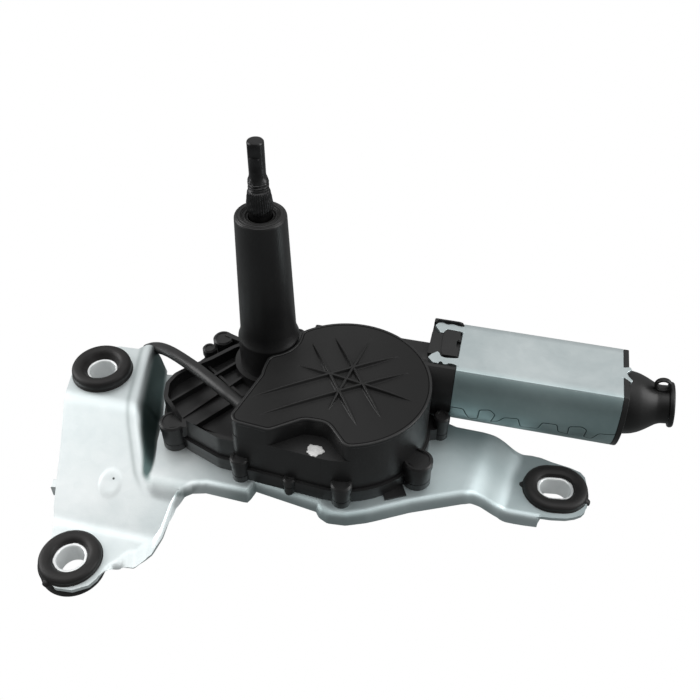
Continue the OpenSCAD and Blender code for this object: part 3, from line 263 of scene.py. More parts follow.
# dark and light tone, roughness, grain and its relief, patches, dust, then gloss and metal if not 0.5 and 0
mouldedLooks = {
    "caseBlack": ((0.006, 0.006, 0.0063), (0.011, 0.011, 0.0112), 0.4, 700, 0.25, 45, 0.03, 0.42),
    "lidBlack": (0.009, 0.014, 0.4, 1100, 0.22, 30, 0.03, 0.28),
    "capBlack": ((0.007, 0.007, 0.0073), 0.012, 0.38, 800, 0.15, 60, 0, 0.4),
    "rubberBlack": ((0.008, 0.0075, 0.0075), (0.015, 0.0138, 0.0135), 0.5, 1300, 0.3, 80, 0.03, 0.3),
    "bootRubber": (0.005, 0.009, 0.4, 900, 0.2, 60, 0.02, 0.36),
    "hoseRubber": (0.009, 0.016, 0.4, 900, 0.15, 120, 0, 0.4),
    "sealRubber": (0.008, 0.014, 0.5, 900, 0.2, 60, 0, 0.35),
    "jointBlack": (0.002, 0.003, 0.6, 900, 0.2, 60, 0, 0.1),
    "blackSteel": ((0.02, 0.02, 0.0205), (0.055, 0.055, 0.056), 0.34, 1500, 0.2, 160, 0, 0.5, 0.85),
    "wheelPlastic": ((0.55, 0.52, 0.44), (0.66, 0.63, 0.54), 0.42, 700, 0.1, 60, 0),
    "holderPlastic": ((0.04, 0.04, 0.045), (0.06, 0.06, 0.065), 0.45, 900, 0.2, 60, 0),
    "carbon": (0.02, 0.05, 0.6, 1500, 0.4, 60, 0),
    "ferrite": ((0.05, 0.05, 0.055), (0.09, 0.09, 0.095), 0.55, 900, 0.3, 60, 0),
    "coreSteel": ((0.12, 0.12, 0.13), (0.2, 0.2, 0.21), 0.4, 900, 0.2, 60, 0, 0.5, 0.8),
    "paintWhite": ((0.6, 0.6, 0.59), (0.78, 0.78, 0.77), 0.42, 900, 0.3, 400, 0),
}
# dark and light tone, roughness, crystals, clouds, relief, then roughness span and metal if not 0.16 and 1
metalLooks = {
    "zincSheet": ((0.71, 0.77, 0.775), (0.9, 0.93, 0.93), 0.52, 260, 22, 0.12),
    "canSteel": ((0.52, 0.59, 0.6), (0.7, 0.76, 0.765), 0.42, 420, 30, 0.06, 0.08),
    "sleeveSteel": ((0.86, 0.89, 0.89), (0.95, 0.96, 0.96), 0.36, 300, 60, 0.08, 0.16, 0.4),
    "screwSteel": ((0.5, 0.53, 0.55), (0.7, 0.72, 0.72), 0.33, 300, 60, 0.08),
    "gearSteel": ((0.4, 0.41, 0.43), (0.58, 0.59, 0.6), 0.3, 300, 60, 0.08),
    "bronze": ((0.5, 0.33, 0.14), (0.68, 0.48, 0.24), 0.38, 500, 60, 0.2),
    "brass": ((0.7, 0.5, 0.18), (0.85, 0.65, 0.3), 0.28, 300, 60, 0.06),
    "copper": ((0.6, 0.25, 0.12), (0.8, 0.42, 0.24), 0.3, 300, 60, 0.1),
}
# painted shades: a tone; a fade from X to X in metres; a spot's place and radius in metres
paintedShades = {
    "canPaintedShade": (0.58, 0.68, 0.68), "sheetPaintedShade": (0.12, 0.17, 0.165),
    "sheetShadeRight": (-0.045, 0.03, (0.7, 0.75, 0.76)), "lidShadeRight": (0.02, 0.075, (0.3, 0.3, 0.3)),
    "dimpleHoleShade": ((-0.05041, -0.06452, -0.11063), 0.00055, (0.08, 0.09, 0.09)),
}
# the pieces that keep their CAD meshes
plainNodes = {
    "sealRubber": ["base_gasket"],
    "screwSteel": ["case_screws", "brush_springs"],
    "gearSteel": ["spindle_circlip", "spindle_washer", "spindle_pinion", "sector_gear", "sector_pivot",
        "rod_pin", "connecting_rod", "wheel_axle", "wheel_clip", "crank_pin", "armature_shaft"],
    "bronze": ["upper_bush", "lower_bush", "front_bearing", "middle_bearing", "rear_bearing"],
    "brass": ["park_disc", "park_contacts", "terminal_pins"],
    "copper": ["armature_windings", "commutator"],
    "wheelPlastic": ["worm_wheel"], "coreSteel": ["armature_core"], "ferrite": ["magnets"],
    "holderPlastic": ["brush_holder"], "carbon": ["brushes"],
}


def makeFinishes():
    # every material by its name, with the marks that only some of them have: the can's seam with a painted
    # highlight below it, and painted shade on the can, the sheet and the lid
    finishes = {name: mouldedFinish(name, *look) for name, look in mouldedLooks.items()}
    finishes.update({name: metalFinish(name, *look) for name, look in metalLooks.items()})
    sheet, can = finishes["zincSheet"], finishes["canSteel"]
    seamFinish(can, seamLook)
    paintedShadeFinish(can, paintedShades["canPaintedShade"])
    paintedShadeFinish(sheet, paintedShades["sheetPaintedShade"])
    # painted shade: the sheet darker towards the right
    paintedShadeAlongX(sheet, *paintedShades["sheetShadeRight"])
    # painted shade: a dark dot for the dimple's small hole
    paintedShadeSpot(sheet, *paintedShades["dimpleHoleShade"])
    # painted shade: the lid darker towards the right
    paintedShadeAlongX(finishes["lidBlack"], *paintedShades["lidShadeRight"])
    return finishes


def finishNodes(table):
    for finish, names in table.items():
        for name in names:
            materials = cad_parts[name].data.materials
            materials.clear()
            materials.append(finishes[finish])


finishes = makeFinishes()
finishNodes(plainNodes)
print("finishes made:", len(finishes))


def weld(mesh):
    # joins points that lie on each other, at poles and where a slot's straight has no length
    work = bmesh.new()
    work.from_mesh(mesh)
    bmesh.ops.remove_doubles(work, verts=work.verts, dist=2e-6)
    bmesh.ops.dissolve_degenerate(work, edges=work.edges, dist=1e-7)
    bmesh.ops.recalc_face_normals(work, faces=work.faces)
    work.to_mesh(mesh)
    work.free()


def placePiece(name, mesh, finish, sharp=None, body="housing", instead=None):
    # shades a mesh smooth up to the sharp angle and gives the piece its finish, body and replaced node
    mesh.materials.clear()
    mesh.materials.append(finishes[finish])
    mesh.polygons.foreach_set("use_smooth", np.ones(len(mesh.polygons), bool))
    mesh.update()
    if sharp is not None:
        mesh.set_sharp_from_angle(angle=math.radians(sharp))
    piece = bpy.data.objects.new(name, mesh)
    bpy.context.scene.collection.objects.link(piece)
    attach(piece, body)
    if instead:
        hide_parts(instead)
    return piece


def makePiece(name, points, faces, finish, sharp=None, **rest):
    # puts points in mm and index lists into a mesh whose place is in its vertices; a closed one is welded
    mesh = bpy.data.meshes.new(name)
    points = np.asarray(points, float).reshape(-1, 3) * mm
    mesh.from_pydata(points.tolist(), [], faces if isinstance(faces, list) else faces.tolist())
    if sharp is not None:
        weld(mesh)
    return placePiece(name, mesh, finish, sharp, **rest)


def gridFaces(rows, columns, closed=True):
    # quads of a rows x columns grid; closed joins the last column to the first
    i, j = np.meshgrid(np.arange(rows - 1), np.arange(columns if closed else columns - 1), indexing="ij")
    a, b = i * columns + j, i * columns + (j + 1) % columns
    return np.stack([a, b, b + columns, a + columns], -1).reshape(-1, 4)


def gridPiece(name, grid, finish, sharp, loop=False, **rest):
    # a grid of points whose columns close; loop also joins the last row to the first
    if loop:
        grid = np.concatenate([grid, grid[:1]])
    return makePiece(name, grid, gridFaces(*grid.shape[:2]), finish, sharp, **rest)


def storeValues(piece, name, values):
    # one value for each point, which a finish reads by this name
    mark = piece.data.attributes.new(name, "FLOAT", "POINT")
    mark.data.foreach_set("value", values)


def addBevel(piece, width, segments, angle):
    bevel = piece.modifiers.new("softEdge", "BEVEL")
    bevel.width, bevel.segments, bevel.limit_method = width * mm, segments, "ANGLE"
    bevel.angle_limit, bevel.harden_normals = math.radians(angle), True


def smoothStep(t):
    t = np.clip(t, 0, 1)
    return t * t * (3 - 2 * t)


def window(value, middle, half, soft=0.35):
    # 1 inside middle +- half, falling smoothly to 0 outside
    return smoothStep((half * (1 + soft) - np.abs(value - middle)) / (2 * soft * half))


def along(table, key):
    # straight interpolation in a list of pairs, held at its ends
    keys, values = zip(*table)
    return np.interp(key, keys, values)


def evenSteps(spans):
    # places in spans of (from, to, how many), each shared end once
    return np.unique(np.concatenate([np.linspace(*span) for span in spans]))


def turned(x, y, degrees):
    # a direction in plan, turned about Z
    c, s = math.cos(math.radians(degrees)), math.sin(math.radians(degrees))
    return c * x - s * y, s * x + c * y


def unit(vectors):
    return vectors / np.linalg.norm(vectors, axis=1)[:, None]


def softLine(points, cut, steps=4, loop=False):
    # a line whose corners are cut back by cut, but by no more than 46 % of a side, and rounded by a parabola;
    # loop also rounds the corners where the line closes
    points = [np.asarray(p, float) for p in points]
    cuts = list(np.broadcast_to(cut, len(points)))
    t = np.linspace(0, 1, steps)[:, None]
    out = []
    for i, b in enumerate(points):
        if not loop and i in (0, len(points) - 1):
            out.append(b[None])
            continue
        u, v = points[i - 1] - b, points[(i + 1) % len(points)] - b
        lu, lv = np.linalg.norm(u), np.linalg.norm(v)
        reach = min(cuts[i], 0.46 * lu, 0.46 * lv)
        p, q = b + u / lu * reach, b + v / lv * reach
        out.append((1 - t) ** 2 * p + 2 * t * (1 - t) * b + t ** 2 * q)
    return np.concatenate(out)


def ringPiece(name, profile, cut, steps, finish, at=(0, 0, 0), sides=96, travel=0, turn=0, bumps=(), sharp=60,
        instead=None):
    # a closed (radius, height) profile carried round an upright axis, or round a slot when travel is set;
    # a bump (angle, half width, reach, low, high, least radius) pushes the outside out there
    rows = softLine(profile, cut, steps, True)
    angle = np.linspace(-90, 90, sides // 2 + 1)
    angle = np.concatenate([angle, angle + 180])
    shift = np.where(np.arange(len(angle)) <= sides // 2, travel, -travel)
    r = np.repeat(rows[:, :1], len(angle), 1)
    for middle, half, reach, low, high, least in bumps:
        off = (angle - middle + 180) % 360 - 180
        mid = (low + high) / 2
        level = window(rows[:, 1:], mid, high - mid) * (rows[:, :1] > least)
        r = r + reach * window(off, 0, half)[None] * level
    a = np.radians(angle)
    x, y = turned(r * np.cos(a) + shift, r * np.sin(a), turn)
    grid = np.stack([x, y, np.repeat(rows[:, 1:], len(angle), 1)], -1) + at
    return gridPiece(name, grid, finish, sharp, True, instead=instead)


def slabPiece(name, outline, low, high, cut, bevel, finish):
    # an outline in plan, with its corners rounded, raised between two heights
    line = softLine(outline, cut, 4, True)
    n = len(line)
    points = np.concatenate([np.c_[line, np.full(n, low)], np.c_[line, np.full(n, high)]])
    sides = [[i, (i + 1) % n, n + (i + 1) % n, n + i] for i in range(n)]
    faces = [list(range(n))[::-1], list(range(n, 2 * n))] + sides
    piece = makePiece(name, points, faces, finish, 40)
    addBevel(piece, bevel, 2, 50)
    return piece


# the bracket is one pressed sheet, in mm: edges as (x, y), the ridge and shifts listed by y, the rest by x
bracket = {
    "sheet": 1.8, "bevel": 0.22, "rearTab": -96.0, "middle": -110.0, "lowTab": -124.0, "flange": 3.6,
    "foldRear": -37.2, "foldFront": -82.4, "foldSoft": 0.06, "rows": 92, "ridgeFade": 8,
    "sideFrom": 60, "sideSlope": 20, "sideShade": 0.95, "slopeShadeRun": (-66, 9),
    "stations": [(-84.5, -60, 70), (-60, 5, 130), (5, 10, 16), (10, 120, 150), (120, 143.5, 70),
        (143.5, 145.8, 14)],
    "leftWidth": 22.5, "lean": 0.31, "leanFrom": 30, "leanWidth": 65, "leanMiddle": -30,
    "frontSpan": (-125.0, -24.6), "backSpan": (-24.4, 45.0),
    "dimpleAt": (-51.4, -65.2), "dimpleRadius": 4.7, "dimpleRise": 0.22,
    "dimpleRim": (1.1, 0.25), "dimpleBowl": (0.75, 0.5, 0.3),
    "leftShift": [(-105, 18.5), (-93, 16.9), (-76.5, 11.5), (-66, 9.3), (-55, 7.1), (-39, 3.1), (-25, 0)],
    "ridge": [(-90, -26), (-66, -35), (-60.2, -40), (-43.4, -48.3), (-34.3, -51.8), (-6.3, -58), (4, -60)],
    "ridgeWidth": [(-64, 5), (-56, 7), (-32, 11), (-5, 8), (4, 5)],
    "sideStart": [(-40, 92), (-5, 98)],
    "backEdge": [(-84.5, -24), (-83, -17), (-80.5, -11), (-77, -7), (-71, -4.5), (-62, -4), (-58.5, 0.4),
        (-56, 0.8), (-50, -4), (-44, -3), (-38, 4), (-28, 14), (-10, 22), (10, 26), (30, 24), (60, 14),
        (72, 4), (81, -3.6), (86, -5.2), (99, -5.6), (107, -3.6), (115, -2.4), (121, -1.9), (125, -2.2),
        (130, -3.6), (138, -5), (142.5, -6.5), (144.6, -9), (145.6, -14), (145.8, -18)],
    "frontEdge": [(-66.5, -102), (-65.5, -105.5), (-62, -109), (-56, -111.5), (-49.5, -111), (-44, -107.5),
        (-42.2, -104), (-41.6, -99.6), (-39.7, -96.9), (-36.5, -95), (-31.3, -94.4), (-29.5, -91.6),
        (-26.2, -87.5), (-23.7, -80.7), (-22.3, -70), (-20.3, -64.6), (-17, -61.8), (-11, -60), (6, -60.4),
        (8, -54.9), (37, -59.4), (39, -61.8), (42, -63.2), (48.5, -62.5), (56, -59.3), (72, -50.3),
        (94, -40.4), (96, -39), (101, -37.2), (109, -35.2), (116, -35.4), (126, -35.2), (126.8, -34.3),
        (131.4, -34), (137.1, -33), (141, -31.4), (143.6, -29.6), (145, -27.5), (145.6, -24), (145.8, -19)],
    "flangePart": [(-42, 0), (-37, 0.6), (-28, 0.6), (-23, 0.4), (-20, 0.8), (6, 1), (8, 0.7), (37, 0.7),
        (39, 0.8), (60, 1), (120, 1), (126, 0.9), (126.8, 0)],
    "flangeBand": [(-42, 1.2), (-38, 2), (-34, 5.4), (-27, 6), (-24, 4), (-21, 2.1), (6, 2.3), (126, 2.2),
        (127, 1.2)],
    "rollSteps": [0, 0.1, 0.22, 0.36, 0.52, 0.68, 0.84, 1.0],
    "rollDrop": [(0, 1), (0.25, 0.5), (0.58, 0.13), (0.8, 0.03), (1, 0)],
    # a lip wider than the first of these falls straighter, fully so where it is wider by the second
    "wideBand": (2.4, 3),
    # x, y, radius and half the straight of each hole
    "holes": [(-71.7, -21.1, 10.0, 0.0), (-56.1, -98.1, 10.0, 0.0), (132, -18.8, 9.2, 1.8)], "slotTurn": 8.0,
    # painted shade: how dark the lip is, then a line beside the ridge as offset, width and strength, then the
    # crease
    "lip": [(-12, 0), (4, 0.32), (50, 0.3), (70, 0.2), (104, 0.2), (118, 0.08)],
    "footShade": (-2.1, 1.3, 0.27), "footRun": (-70, 10), "fullShade": 0.7,
    "crease": ((-21.9, -65.3), (-14.3, -59.4)), "creaseWidth": 0.75, "creaseShade": (0.5, 0.3),
}


def bracketHeight(x, y, b=bracket):
    # two flat tabs joined by a sloped web with parabolic folds; a ridge beside the case steps to the middle
    # height, and a slope at the right falls to a low tab; also gives a painted shade, strongest on the steep
    # middle of the ridge's wall and of the right slope
    e = b["foldSoft"]
    share = (b["foldRear"] - y) / (b["foldRear"] - b["foldFront"])
    ends = np.where(share > 1 - e, 1 - (1 + e - share) ** 2 / (4 * e), share)
    ends = np.where(share < e, (share + e) ** 2 / (4 * e), ends)
    soft = np.where(share < -e, 0, np.where(share > 1 + e, 1, ends))
    slope = b["rearTab"] + (b["lowTab"] - b["rearTab"]) * soft
    ahead = (y - (b["foldRear"] + b["foldFront"]) / 2) / b["ridgeFade"] + 1
    k = smoothStep((x - along(b["ridge"], y)) / along(b["ridgeWidth"], y)) * smoothStep(ahead)
    left = (1 - k) * slope + k * b["middle"]
    fall = smoothStep((x - along(b["sideStart"], y)) / b["sideSlope"])
    right = b["middle"] - (b["middle"] - b["lowTab"]) * fall
    slopeShade = 4 * k * (1 - k) * smoothStep((y - b["slopeShadeRun"][0]) / b["slopeShadeRun"][1])
    side = x > b["sideFrom"]
    return np.where(side, right, left), np.where(side, b["sideShade"] * fall * (1 - fall), slopeShade)


def bracketX(u, y, b=bracket):
    # stations follow the left edge at one side and lean along the ridge further in
    w = np.clip((u - b["stations"][0][0]) / b["leftWidth"], 0, 1)
    fall = np.clip((b["leanFrom"] - u) / b["leanWidth"], 0, 1)
    return u + (1 - w) * along(b["leftShift"], y) - b["lean"] * w * fall * (y - b["leanMiddle"])


def bracketEdge(u, edge, low, high):
    # depth Y where a station meets an edge line, by halving the span
    low, high = np.full_like(u, low), np.full_like(u, high)
    for _ in range(24):
        y = (low + high) / 2
        under = along(edge, bracketX(u, y)) > y
        low, high = np.where(under, y, low), np.where(under, high, y)
    return (low + high) / 2


def slotMiddle(spots, x, y, travel, turn):
    # nearest place on a slot's middle line, which is one point where a hole is round
    axis = np.array([math.cos(turn), math.sin(turn)])
    return np.clip((spots[:, :2] - (x, y)) @ axis, -travel, travel)[:, None] * axis + (x, y)


def cutHoles(points, faces, b=bracket):
    # drops the faces whose middle lies in a hole and brings the points round it onto the hole's edge
    centre = points[faces].mean(1)
    kept = np.ones(len(faces), bool)
    turn = math.radians(b["slotTurn"])
    for x, y, radius, travel in b["holes"]:
        inside = np.linalg.norm(centre[:, :2] - slotMiddle(centre, x, y, travel, turn), axis=1) < radius
        rim = np.intersect1d(faces[inside], faces[~inside])
        middle = slotMiddle(points[rim], x, y, travel, turn)
        points[rim, :2] = middle + unit(points[rim, :2] - middle) * radius
        kept &= ~inside
    used, faces = np.unique(faces[kept], return_inverse=True)
    return points, used, faces.reshape(-1, 4)


def bracketPaintedShade(x, y, slopeShade, b=bracket):
    # painted shade, 0 to 1: at each place the darkest of the steep parts, the rolled lip, a line by the ridge
    # and the crease
    steps = np.array(b["rollSteps"])
    lip = along(b["lip"], x[:, :len(steps)]) * (steps < 0.9)
    slopeShade[:, :len(steps)] = np.maximum(slopeShade[:, :len(steps)], lip)
    offset, width, strength = b["footShade"]
    foot = strength * np.exp(-((x - along(b["ridge"], y) - offset) / width) ** 2)
    foot = foot * smoothStep((y - b["footRun"][0]) / b["footRun"][1]) * (x < 0)
    (ax, ay), (bx, by) = b["crease"]
    part = np.clip(((x - ax) * (bx - ax) + (y - ay) * (by - ay)) / ((bx - ax) ** 2 + (by - ay) ** 2), 0, 1)
    near = np.hypot(x - ax - part * (bx - ax), y - ay - part * (by - ay))
    most, less = b["creaseShade"]
    crease = (most - less * part) * np.exp(-(near / b["creaseWidth"]) ** 2)
    return smoothStep(np.maximum(np.maximum(slopeShade, foot), crease) / b["fullShade"])


def makeBracket(b=bracket):
    # grid of stations across and rows from the turned-down front edge to the back edge, given its thickness
    u = evenSteps(b["stations"])
    front = bracketEdge(u, b["frontEdge"], *b["frontSpan"])[:, None]
    back = bracketEdge(u, b["backEdge"], *b["backSpan"])[:, None]
    edgeX = bracketX(u[:, None], front)
    band = along(b["flangeBand"], edgeX)
    inner = front + band
    steps = np.array(b["rollSteps"])
    rows = np.linspace(0, 1, b["rows"])[1:]
    y = np.concatenate([front + (inner - front) * steps, inner + (back - inner) * rows], 1)
    x = bracketX(u[:, None], y)
    z, slopeShade = bracketHeight(x, np.maximum(y, inner))
    rolled = along(b["rollDrop"], steps)
    straight = np.clip((band - b["wideBand"][0]) / b["wideBand"][1], 0, 1)
    drop = rolled + straight * (1 - steps - rolled)
    z[:, :len(steps)] -= drop * (b["flange"] * along(b["flangePart"], edgeX))
    far = np.hypot(x - b["dimpleAt"][0], y - b["dimpleAt"][1]) / b["dimpleRadius"]
    (rim, rimSoft), (bowl, bowlSoft, sunk) = b["dimpleRim"], b["dimpleBowl"]
    z += b["dimpleRise"] * (smoothStep((rim - far) / rimSoft) - sunk * smoothStep((bowl - far) / bowlSoft))
    points = np.stack([x, y, z], -1).reshape(-1, 3)
    points, used, faces = cutHoles(points, gridFaces(*x.shape, False))
    piece = makePiece("bracketSheet", points[used], faces, "zincSheet", instead="mounting_bracket")
    # painted shade on the sheet's steep walls, rolled lip, ridge foot and crease
    storeValues(piece, "shade", bracketPaintedShade(x, y, slopeShade).reshape(-1)[used])
    sheet = piece.modifiers.new("sheetThickness", "SOLIDIFY")
    sheet.thickness, sheet.offset, sheet.use_even_offset = b["sheet"] * mm, -1, True
    addBevel(piece, b["bevel"], 2, 60)


lug = {"at": (-76.7, -71.7, -121.0), "size": (2.6, 4.2, 6.0), "turn": 10.0, "bevel": 0.35}


def makeLug(b=lug):
    # an upright box with rounded edges, turned about its corner
    sx, sy, sz = b["size"]
    corners = [turned(x, y, b["turn"]) for x, y in ((0, 0), (sx, 0), (sx, sy), (0, sy))]
    points = np.array([(x, y, z) for z in (0, sz) for x, y in corners]) + b["at"]
    faces = [[3, 2, 1, 0], [4, 5, 6, 7], [0, 1, 5, 4], [1, 2, 6, 5], [2, 3, 7, 6], [3, 0, 4, 7]]
    addBevel(makePiece("bracketLug", points, faces, "zincSheet", 40), b["bevel"], 3, 40)


makeBracket()
makeLug()
print("bracket made")


# a broad base lip on the sheet, a step, and a rounded crown that dips to the sleeve; profiles are
# (radius, height), the steel one's radius being what lies beyond the bore
grommets = {
    "rubber": [(6.34, -5.8), (7.1, -6.6), (11.2, -6.6), (12.6, -5.8), (13.1, -4.4), (12.9, -1.86),
        (10.02, -1.86), (10.02, 0.04), (12.9, 0.04), (13.1, 0.8), (12.9, 1.75), (12.3, 2.3), (12.5, 3.0),
        (12.3, 4.0), (11.4, 4.9), (9.9, 5.2), (8.6, 5.0), (7.5, 4.2), (7.0, 3.2), (6.34, 2.3)],
    "rubberCut": [0.5, 0.6, 1.0, 0.8, 0.8, 0.2, 0.2, 0.2, 0.2, 0.5, 0.5, 0.4, 0.5, 0.6, 0.8, 0.9, 0.8, 0.6,
        0.4, 0.2],
    "steel": [(0, -7.38), (0.8, -7.38), (0.8, 1.7), (1.25, 2.35), (1.2, 2.8), (0.75, 2.9), (0.2, 2.7),
        (0, 2.2)],
    "steelCut": [0.1, 0.1, 0.3, 0.3, 0.25, 0.25, 0.3, 0.3],
    "sides": 128, "nub": (5.5, 1.2, 0.4, 2.6, 11.4), "ear": (9, 0.85, 1.9, 3.4), "earFrom": 0.9,
    "slotTravel": 1.8, "slotTurn": 8, "rearWider": 0.45, "rearTaller": 1.2,
    "sideBore": 5.62, "sideBase": 10.9, "sideGroove": 9.22, "sideFoot": [(-6.6, -5.0), (-4.4, -4.0)],
    # place, bore, angles of the rubber's nubs and of the sleeve's ears
    "places": {
        "rear": ((-71.7, -21.1, -96), 5.5, (), (163, 24, 280)),
        "front": ((-56.1, -98.1, -124), 5.5, (121, 249), (96, 206, 352)),
        "side": ((132, -18.8, -124), 4.8, (172, 336), (150, 28, 250)),
    },
}


def grommetProfile(place, g=grommets):
    # the rear one is wider and taller; the side one has a thinner base and is narrower all over
    profile = np.array(g["rubber"])
    r, z = profile.T
    if place == "rear":
        profile += np.where(profile > 2.9, g["rearWider"], 0) * (profile[:, :1] > 7.2)
        z *= np.where(z > 2, g["rearTaller"], 1)
    if place == "side":
        low, inner = z < -1.9, r < 6.4
        z[low] = along(g["sideFoot"], z[low])
        base = low | (z < -1.8)
        r[base] = np.minimum(r[base], g["sideBase"])
        r[:] = np.where(inner, g["sideBore"], r - 0.4 * (r > 7.05) - 0.6 * (r < 7.6))
        r[6:8] = g["sideGroove"]
    return profile


def makeGrommets(g=grommets):
    for place, (at, bore, nubs, ears) in g["places"].items():
        travel, turn = (g["slotTravel"], g["slotTurn"]) if place == "side" else (0, 0)
        rest = {"at": at, "sides": g["sides"], "travel": travel, "turn": turn}
        ringPiece(place + "GrommetRubber", grommetProfile(place), g["rubberCut"], 5, "rubberBlack",
            bumps=[(a, *g["nub"]) for a in nubs], instead=place + "_grommet", **rest)
        ringPiece(place + "SleeveSteel", np.array(g["steel"]) + (bore, 0), g["steelCut"], 4, "sleeveSteel",
            bumps=[(a, *g["ear"], bore + g["earFrom"]) for a in ears], sharp=70,
            instead=place + "_sleeve", **rest)


makeGrommets()
print("grommets made")


spindle = {
    "profile": [(0, -105.5), (4.5, -105.5), (4.5, -17.9), (4.0, -17.9), (4.0, -16.7), (4.5, -16.7),
        (4.5, -12.4), (4.62, -11.2), (5.25, -10.1), (5.35, -8.8), (5.0, -5.6), (4.5, -2.4), (4.1, -1.4),
        (3.75, -1.2), (3.75, -0.7), (4.05, -0.5), (4.05, 1.9), (3.85, 2.9), (3.22, 4.6), (3.22, 18.4),
        (2.8, 18.95), (0, 19)],
    "cut": [0, 0.3, 0, 0, 0, 0, 0.3, 0.4, 0.5, 0.7, 0.9, 0.6, 0.2, 0.1, 0.1, 0.2, 0.8, 0.6, 0.8, 0.5, 0.4,
        0],
    "levels": [(-105.5, -18, 12), (-18, -13, 26), (-13, -3, 84), (-3, 3, 60), (3, 9, 14), (9, 19, 44)],
    "columns": 240, "pitch": 1.3, "threadDepth": 0.55, "pitDepth": 0.12, "teeth": 34, "toothDepth": 0.26,
    "wear": 0.16, "pilot": 3.3, "pilotFrom": 9, "flat": 2.3, "top": 19.0, "topRound": 0.82,
    # middle, half height and softness of each band
    "thread": (0.3, 1.9, 0.2), "pits": (0.6, 2.4, 0.3), "cone": (-6.1, 4.3, 0.1), "flats": (15.2, 2.6, 0.04),
}


def makeSpindle(s=spindle):
    # profile turned about Z; the thread is a helical wave in the radius, the cone has straight teeth with
    # worn patches, and both sides of the pilot are cut flat
    line = softLine(s["profile"], s["cut"], 4)
    z = evenSteps(s["levels"])
    keep = line[np.concatenate([[True], np.diff(line[:, 1]) > 1e-6])]
    radius = np.interp(z, keep[:, 1], keep[:, 0])
    radius[-1] = np.interp(s["top"], line[-4:, 1], line[-4:, 0])
    a = np.linspace(0, 2 * np.pi, s["columns"], endpoint=False)[None]
    zz = z[:, None]
    r = np.repeat(radius[:, None], s["columns"], 1)
    wave = np.abs(((zz / s["pitch"] - a / (2 * np.pi)) % 1) - 0.5) * 2
    r -= s["threadDepth"] * smoothStep((wave - 0.25) / 0.6) * window(zz, *s["thread"])
    r -= s["pitDepth"] * window(zz, *s["pits"]) * np.sin(3 * a + 2.2 * zz) * np.sin(7 * a - 3.1 * zz)
    worn = 0.5 + 0.5 * np.sin(5 * a + 1.3 * zz) * np.sin(2 * a - 0.9 * zz + 1)
    tooth = 0.5 + 0.5 * np.cos(s["teeth"] * a + 0.25 * np.sin(2.1 * zz))
    worn = worn * (0.5 + 0.5 * np.sin(9 * a - 2.6 * zz))
    r -= window(zz, *s["cone"]) * (s["toothDepth"] * tooth + s["wear"] * worn)
    x, y = r * np.cos(a), r * np.sin(a)
    limit = s["pilot"] - (s["pilot"] - s["flat"]) * window(zz, *s["flats"])
    y = np.where(zz > s["pilotFrom"], np.clip(y, -limit, limit), y)
    turns = np.stack([x, y, np.broadcast_to(zz, x.shape)], -1)
    foot, top = (np.zeros_like(turns[:1]) + (0, 0, level) for level in (z[0], z[-1] - 0.1))
    grid = np.concatenate([foot, turns, turns[-1:] * (s["topRound"], s["topRound"], 1), top])
    gridPiece("spindleSteel", grid, "blackSteel", 48, body="spindle", instead="output_spindle")


# rings at the tube: the shaft seal, the rings in the mouth, and the outer skin that flares over its foot
tubeRings = {
    "tubeSeal": {
        "profile": [(4.62, -15.85), (7.76, -15.85), (7.76, -13.1), (7.4, -12.95), (7.1, -13.6), (6.7, -13.6),
            (6.4, -13.15), (6.0, -13.3), (5.8, -14.1), (5.45, -14.1), (5.3, -13.6), (4.95, -13.7),
            (4.8, -14.6), (4.62, -15.2)],
        "cut": 0.2, "steps": 3, "finish": "sealRubber", "instead": "spindle_seal"},
    "tubeMouthRings": {
        "profile": [(7.85, -13.3), (9.7, -13.3), (9.7, -12.95), (9.45, -12.66), (9.1, -12.66), (8.9, -12.92),
            (8.5, -12.92), (8.3, -12.7), (8.0, -12.7), (7.85, -12.95)],
        "cut": 0.12, "steps": 3, "finish": "caseBlack"},
    "tubeSkin": {
        "profile": [(11.4, -75.5), (13.24, -75.6), (13.27, -74.7), (12.6, -73.0), (12.02, -70.4),
            (10.34, -13.9), (10.05, -13.1), (9.6, -12.88), (9.3, -13.2), (9.6, -15)],
        "cut": [0.2, 0.05, 0.8, 1.6, 1.6, 0.5, 0.4, 0.2, 0.2, 0.2], "steps": 5, "sides": 128,
        "finish": "caseBlack"},
}

makeSpindle()
for ringName, ring in tubeRings.items():
    ringPiece(ringName, **ring)
print("spindle made")


# flat-sided shell; the seam is (x, degrees) on the unrolled shell, and at noSeam mm from it nothing shows
can = {
    "axisY": 11.0, "axisZ": -89.6, "radius": 20.65, "half": 14.6, "sheet": 1.4, "start": 82.0, "end": 150.8,
    "rows": 200, "flatPoints": 12, "rollIn": 6, "edge": 0.3, "seamStretch": 0.93, "noSeam": 9.0,
    "seamWithin": 44, "skin": 0.8, "shadeTo": 50, "shadeSoft": 10,
    "seam": [(80, 5.2), (87.6, 4.9), (90.7, 28), (94.1, 23.5), (94.4, 1.8), (98.8, -1.3), (101.2, 5.9),
        (99.7, 26.4), (102.4, 22.5), (105.1, 8.8), (110.9, 6.1), (112.6, 25.4), (119.6, 22.3), (120.9, 5.9),
        (127, 4.8), (128.2, 20.4), (132.2, 23.5), (131.9, 4.7), (137, 0.9), (139.2, 5.4), (138.8, 22.6),
        (141.9, 25.4), (144.2, 8.6), (148.4, 6.9), (152, 3.8)],
}


def seamDistance(spots, line):
    # signed distance in mm to the seam line drawn on the unrolled shell: negative above it, positive below
    best = np.full(len(spots), 1e9)
    below = np.zeros(len(spots), bool)
    for a, b in zip(line, line[1:]):
        u = b - a
        t = np.clip(((spots - a) @ u) / (u @ u), 0, 1)
        best = np.minimum(best, np.linalg.norm(spots - a - t[:, None] * u, axis=1))
        crosses = (a[0] > spots[:, 0]) != (b[0] > spots[:, 0])
        with np.errstate(divide="ignore", invalid="ignore"):
            level = a[1] + (spots[:, 0] - a[0]) / (b[0] - a[0]) * u[1]
        below ^= crosses & (level < spots[:, 1])
    return np.where(below, best, -best)


